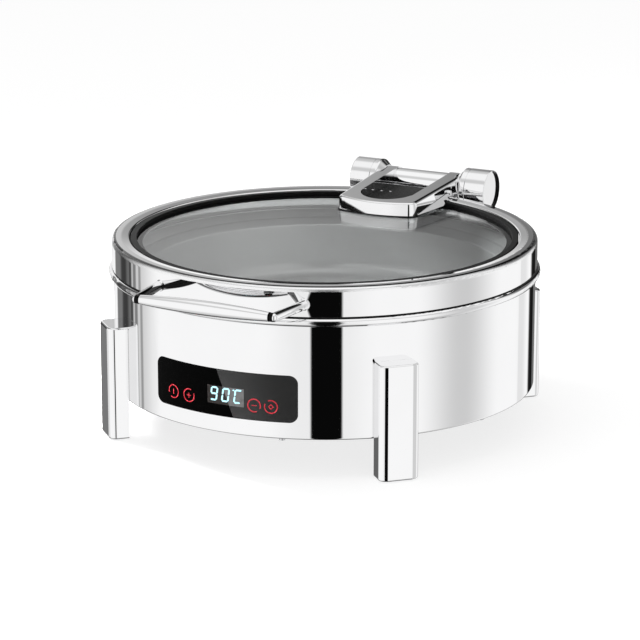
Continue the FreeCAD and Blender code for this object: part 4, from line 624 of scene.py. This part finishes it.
# %% Rubbers, plastics and ink
# Darkest and lightest tone, lowest and highest roughness, grains per metre, and the bump where it differs.
MOULDED = {
    "black_moulding": ((0.03, 0.03, 0.034), (0.05, 0.05, 0.055), (0.4, 0.55), 1800.0),
    "circuit_board": ((0.03, 0.16, 0.07), (0.05, 0.24, 0.11), (0.3, 0.45), 350.0),
    "pad_foam": ((0.6, 0.6, 0.56), (0.8, 0.8, 0.77), (0.8, 0.95), 2500.0, 0.6),
    "bearing_plastic": ((0.8, 0.79, 0.74), (0.88, 0.87, 0.83), (0.35, 0.5), 1200.0),
    "transformer_case": ((0.08, 0.08, 0.09), (0.12, 0.12, 0.13), (0.5, 0.65), 700.0),
    "lead_sleeve": ((0.45, 0.06, 0.045), (0.6, 0.09, 0.07), (0.45, 0.6), 800.0),
    "red_ink": ((0.6, 0.004, 0.02), (0.72, 0.008, 0.03), (0.35, 0.5), 2200.0, 0.1),
}


def moulded(name, dark, light, rough, scale, bump=0.25, **plain):
    """Plastic or rubber with the grain of its mould."""
    material, tree, shader, at = finish(name, **plain)
    value = place(tree, grain, {"Vector": at, "Scale": scale})["Value"]
    wear_in(tree, shader, value, dark, light, rough, bump, 0.00008)
    return material


moulds = {name: moulded(name, *row) for name, row in MOULDED.items()}
black = ((0.004,) * 3, (0.008,) * 3)
silicone = moulded("black_silicone", *black, (0.5, 0.65), 900.0, Specular_IOR_Level=0.12)
print(len(moulds) + 1, "rubbers, plastics and inks")

# %% [markdown]
# ## The glass of the lid
# Clear tempered glass bends what is behind it and mirrors the room at a low angle. A lamp's light would
# stop at it, because a path tracer's shadow rays don't bend, so for those rays alone the glass is replaced
# with a clear film, and the pan below is lit as it should be.

# %% Clear glass
glass, glass_tree, pane, glass_at = finish("clear_glass", Metallic=0.0, IOR=1.47, Transmission_Weight=1.0)
wiped = place(glass_tree, haze, {"Vector": glass_at, "Scale": 9.0})["Value"]
wear_in(glass_tree, pane, wiped, (0.97, 0.985, 0.98), (0.99, 1.0, 0.995), (0.0, 0.01))
film = node(glass_tree, "ShaderNodeBsdfTransparent", {"Color": (0.9, 0.92, 0.92, 1)})
to_lamp = node(glass_tree, "ShaderNodeLightPath").outputs["Is Shadow Ray"]
lid_mix = node(glass_tree, "ShaderNodeMixShader", {0: to_lamp, 1: pane.outputs[0], 2: film.outputs[0]})
glass_tree.links.new(lid_mix.outputs[0], find(glass_tree, "OUTPUT_MATERIAL").inputs["Surface"])
print("clear glass made")

# %% [markdown]
# ## The touch panel
# The panel is glass, coated black behind, and it stands a hair proud of the steel. A slanted line divides
# it into a deep black part and a dark grey part: the reflection of a light box at its side, painted into
# its colour. That line is worked out on the cylinder: an angle round the body against a height.

# %% The black of the panel, with a painted reflection of a light box
# The line runs from 2.5 degrees left of the middle at the top to 2.4 degrees right at the bottom.
LINE_TOP, LINE_BOTTOM = (-2.5, 101.9), (2.4, 55.3)
LINE_SLOPE = (LINE_BOTTOM[0] - LINE_TOP[0]) / (LINE_TOP[1] - LINE_BOTTOM[1])
LINE_SOFT = 0.1
FAR_PAST = 18.0  # degrees past the line, where the grey has reached its last tone


def past_the_line(tree, at):
    """0 left of the slanted line on the panel, 1 right of it; and the angle past it, in degrees."""
    spot = place(tree, lie, {"Vector": at})
    below_top = do(tree, "SUBTRACT", LINE_TOP[1], spot["Up"])
    line = do(tree, "MULTIPLY_ADD", below_top, LINE_SLOPE, LINE_TOP[0])
    past = do(tree, "SUBTRACT", spot["Angle"], line)
    return fade(tree, past, -LINE_SOFT, LINE_SOFT), past


def black_glass_painted_reflection(name, left, right, far, **plain):
    """Gloss black with a painted reflection: dark grey right of the line, and the far tone further right."""
    material, tree, shader, at = finish(name, **plain)
    side, past = past_the_line(tree, at)
    right_tone = tones(tree, fade(tree, past, 0.0, FAR_PAST), right, far)
    tree.links.new(tones(tree, side, left, right_tone), shader.inputs["Base Color"])
    wiped = place(tree, haze, {"Vector": at, "Scale": 25.0})["Value"]
    tree.links.new(fade(tree, wiped, 0.0, 1.0, 0.03, 0.07), shader.inputs["Roughness"])
    return material


# black left of the line; right of it a painted reflection, dark grey turning to the far tone
panel_tones_with_reflection = (0.0005,) * 3, (0.05,) * 3, (0.024,) * 3
window_tones_with_reflection = (0.035, 0.031, 0.03), (0.16,) * 3, (0.2,) * 3
panel_black = black_glass_painted_reflection("panel_black", *panel_tones_with_reflection, Specular_IOR_Level=0.02)
window_grey = black_glass_painted_reflection("window_grey", *window_tones_with_reflection, Specular_IOR_Level=0.05)
print("panel line slope", round(LINE_SLOPE, 4), "degrees per mm")

# %% The light of the digits
glow, glow_tree, glow_shader, glow_at = finish("digit_glow", Emission_Strength=0.8)
lit = place(glow_tree, grain, {"Vector": glow_at, "Scale": 900.0})["Value"]
wear_in(glow_tree, glow_shader, lit, (0.3, 0.55, 0.6), (0.36, 0.62, 0.66), (0.4, 0.5))
glow_tone = tones(glow_tree, lit, (0.42, 0.82, 0.92), (0.5, 0.9, 1.0))
glow_tree.links.new(glow_tone, glow_shader.inputs["Emission Color"])
print("the digits glow in", glow.name)

# %% [markdown]
# ## Dressing the solids
# Each solid names the material slot that it belongs to, so one table from slot to finish dresses all of
# them. A few solids then get a finish of their own.

# %% Slots to finishes
FINISHES = {
    "polished_steel": polished_steel,
    "polished_casting": casting,
    "black_silicone": silicone,
    "clear_glass": glass,
    "black_panel": panel_black,
    **satins,
    **moulds,
}
OWN_FINISH = {
    "lid_frame": ring_steel,
    "rim_ring": bead_steel,
    "left_end_cap": cap_casting,
    "right_end_cap": cap_casting,
    "handle_grip": handle_steel,
    "handle_arm_left": handle_steel,
    "handle_arm_right": handle_steel,
    "hinge_stand_left": stand_painted_dark,
    "hinge_stand_right": stand_painted_dark,
    "food_pan": food_steel,
}
for name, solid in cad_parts.items():
    for slot in solid.material_slots:
        slot.material = OWN_FINISH.get(name) or FINISHES[slot.material.name.split(".")[0]]
print("dressed", len(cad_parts), "solids in", len(FINISHES), "finishes, and some in their own")

# %% [markdown]
# ## Making a new piece
# A new piece is a surface worked out with numpy: the corners come as one array and the faces as another.
# `piece` puts them into a mesh, smooths it where asked, dresses it and makes it ride on a body. `wafer`
# and `slab` are the two shapes that are needed: a thin plate on the round body, and a flat plate.

# %% From arrays to a piece
def piece(name, points, faces, material, body, smooth=True):
    """A mesh object at the origin, in metres, from points in mm and faces as rows of corner numbers."""
    mesh = bpy.data.meshes.new(name)
    mesh.from_pydata((np.asarray(points) * MM).tolist(), [], [list(map(int, f)) for f in faces])
    mesh.polygons.foreach_set("use_smooth", np.full(len(mesh.polygons), smooth))
    mesh.materials.append(material)
    thing = bpy.data.objects.new(name, mesh)
    bpy.context.scene.collection.objects.link(thing)
    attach(thing, body)
    print(name, len(mesh.vertices), "corners,", len(mesh.polygons), "faces")


def walls(low, high):
    """The faces between two closed rings of corner numbers, turned outwards."""
    return list(np.stack([low, np.roll(low, -1), np.roll(high, -1), high], -1))


# %% Thin plates on the round body
def on_body(angles, ups, radius):
    """Points on the round body: angle in degrees from the front, height in mm, distance to the axis."""
    turn = np.radians(angles)
    return np.stack([radius * np.sin(turn), -radius * np.cos(turn), ups + 0 * turn], -1)


def wafer(outlines, inner, outer):
    """Thin curved plates on the body. Each outline is a closed loop of (angle, height), turning left as
    seen from outside; the plate fills it between two distances to the axis."""
    points, faces, start = [], [], 0
    for outline in outlines:
        loop = np.asarray(outline, float)
        n = len(loop)
        points += [on_body(loop[:, 0], loop[:, 1], radius) for radius in (inner, outer)]
        low, high = start + np.arange(n), start + n + np.arange(n)
        faces += [high, low[::-1]] + walls(low, high)
        start += 2 * n
    return np.concatenate(points), faces


# %% Flat plates
def slab(loop, levels, insets):
    """A plate from a closed loop: one ring of corners for each level, drawn in by its inset towards the
    loop's middle. The first and the last ring are closed with one face each."""
    inward = loop - loop.mean(0)
    inward = inward / np.linalg.norm(inward, axis=1, keepdims=True)
    n, i = len(loop), np.arange(len(loop))
    layers = []
    for up, inset in zip(levels, insets):
        layers.append(np.column_stack([loop - inward * inset, np.full(n, up)]))
    faces = [i[::-1], (len(levels) - 1) * n + i]
    for k in range(len(levels) - 1):
        faces += walls(k * n + i, (k + 1) * n + i)
    return np.concatenate(layers), faces


print("two kinds of plate can be made")

# %% [markdown]
# ## The display
# The panel glass has a small window with three lit characters of seven bars each. The bars are hexagons
# that lean a little to the right. A bar is worked out once, from its two ends, and a character is the
# list of its lit bars. The real ones shine through the glass. The panel is opaque here, so the window and
# the bars lie on it, about a tenth of a millimetre thick.

# %% The window of the display
PANEL_R = 212.0
WINDOW_HALF = 5.28  # degrees round the body
WINDOW_LOW, WINDOW_HIGH = 67.6, 85.4
WINDOW_BACK, WINDOW_FACE = PANEL_R - 0.2, PANEL_R + 0.03
WINDOW_STEPS = 33

across = np.linspace(-WINDOW_HALF, WINDOW_HALF, WINDOW_STEPS)
edges = [
    (WINDOW_LOW, WINDOW_BACK),
    (WINDOW_LOW, WINDOW_FACE),
    (WINDOW_HIGH, WINDOW_FACE),
    (WINDOW_HIGH, WINDOW_BACK),
]
window_points = np.concatenate([on_body(across, up, radius) for up, radius in edges])

# Corner i of edge j is number j * n + i. The long faces join each edge to the next, and two faces end them.
n, i, j = WINDOW_STEPS, np.arange(WINDOW_STEPS - 1), np.arange(4)[:, None]
this_edge, next_edge = (j * n + i).ravel(), ((j + 1) % 4 * n + i).ravel()
window_faces = np.stack([this_edge, this_edge + 1, next_edge + 1, next_edge], -1).tolist()
window_faces += [[0, n, 2 * n, 3 * n], [4 * n - 1, 3 * n - 1, 2 * n - 1, n - 1]]
piece("display_window", window_points, window_faces, window_grey, "base", False)

# %% The lit bars
BAR, BAR_GAP = 1.7, 0.12  # width of a bar and the gap at each of its ends, in mm
CELL_W, CELL_H = 6.4, 12.4  # between the middles of the bars of one character
LEAN = 0.14  # mm to the right for each mm up
DIGIT_MID_UP = 77.5
DIGIT_BACK, DIGIT_FACE = PANEL_R - 0.1, PANEL_R + 0.12
DEGREE = TO_DEGREES / PANEL_R  # degrees round the body for one mm


def bar(start, end):
    """A hexagon along the line from start to end, (across, up) in mm, pointed at both ends."""
    start, end = np.array(start, float), np.array(end, float)
    along = (end - start) / np.linalg.norm(end - start)
    side = np.array([-along[1], along[0]]) * BAR / 2
    tip = along * BAR / 2
    a, b = start + along * BAR_GAP, end - along * BAR_GAP
    return np.array([a, a + tip - side, b - tip - side, b, b - tip + side, a + tip + side])


def character(middle, lit):
    """The lit bars of one character: a top, b and c right, d bottom, e and f left, g middle."""
    w, h = CELL_W / 2, CELL_H / 2
    ends = {
        "a": ((-w, h), (w, h)),
        "b": ((w, 0), (w, h)),
        "c": ((w, -h), (w, 0)),
        "d": ((-w, -h), (w, -h)),
        "e": ((-w, -h), (-w, 0)),
        "f": ((-w, 0), (-w, h)),
        "g": ((-w, 0), (w, 0)),
    }
    bars = []
    for letter in lit:
        shape = bar(*ends[letter])
        shape[:, 0] = middle + (shape[:, 0] + shape[:, 1] * LEAN) * DEGREE
        shape[:, 1] += DIGIT_MID_UP
        bars.append(shape)
    return bars


print("a bar has", len(bar((0, 0), (CELL_W, 0))), "corners")

# %% The reading
# Two figures and a degree sign before a C. Each row: degrees round the body, and the bars that are lit.
READING = [(-3.28, "abcdfg"), (0.12, "abcdef"), (3.62, "adef")]
DOT_AT, DOT_HALF_WIDTH, DOT_HALF_HEIGHT = (2.42, 83.3), 0.95, 0.75

bars = [shape for middle, lit in READING for shape in character(middle, lit)]
turns = np.radians(np.arange(0, 360, 30))
dot_across = DOT_AT[0] + np.cos(turns) * DOT_HALF_WIDTH * DEGREE
dot = np.stack([dot_across, DOT_AT[1] + np.sin(turns) * DOT_HALF_HEIGHT], -1)
digit_points, digit_faces = wafer(bars + [dot], DIGIT_BACK, DIGIT_FACE)
piece("display_digits", digit_points, digit_faces, glow, "base", False)

# %% [markdown]
# ## The liner in the arm's mouth
# The U of the hinge arm is closed below by a thin rubber liner, which hides the ring of the lid, and two
# small rivets hold it. Its outline is half an ellipse in front and two sides that open a little, like the
# mouth of the arm; the plate follows from the outline and its thickness.

# %% The liner
MOUTH_HALF, MOUTH_FRONT, MOUTH_DEPTH = 29.2, 121.4, 30.6  # a little inside the mouth
MOUTH_REAR, MOUTH_REAR_HALF = 220.0, 30.4
LINER_LOW, LINER_HIGH = RING_TOP + 0.5, RING_TOP + 1.5
LINER_BEVEL = 0.3


def liner_outline():
    """Closed loop in the plane, turning left: the half ellipse in front, then the two rear corners."""
    a = np.linspace(math.pi, 2 * math.pi, 49)
    front = np.stack([MOUTH_HALF * np.cos(a), MOUTH_FRONT + MOUTH_DEPTH * (1 + np.sin(a))], -1)
    rear = np.array([(MOUTH_REAR_HALF, MOUTH_REAR), (-MOUTH_REAR_HALF, MOUTH_REAR)])
    return np.concatenate([front, rear])


liner_levels = (LINER_LOW, LINER_HIGH - LINER_BEVEL, LINER_HIGH)
liner_points, liner_faces = slab(liner_outline(), liner_levels, (0, 0, LINER_BEVEL))
piece("mouth_liner", liner_points, liner_faces, silicone, "lid", False)

# %% Its rivets
# A rivet's head is domed: each ring of corners is a little higher and a little further in than the last.
RIVETS = [(-24.9, 186.0), (-15.4, 187.6)]
RIVET_R = 1.5
RIVET_LEVELS, RIVET_INSETS = LINER_HIGH + np.array([0.0, 0.3, 0.6, 0.8]), (0, 0.1, 0.5, 1.1)

turns = np.radians(np.arange(0, 360, 15))
head = RIVET_R * np.stack([np.cos(turns), np.sin(turns)], -1)
rivet_points, rivet_faces, start = [], [], 0
for middle in RIVETS:
    points, faces = slab(middle + head, RIVET_LEVELS, RIVET_INSETS)
    rivet_points.append(points)
    rivet_faces += [np.asarray(f) + start for f in faces]
    start += len(points)
screw_steel = satins["screw_steel"]
piece("liner_rivets", np.concatenate(rivet_points), rivet_faces, screw_steel, "lid")

# %% The view transform, the last line
bpy.context.scene.view_settings.view_transform = "Standard"
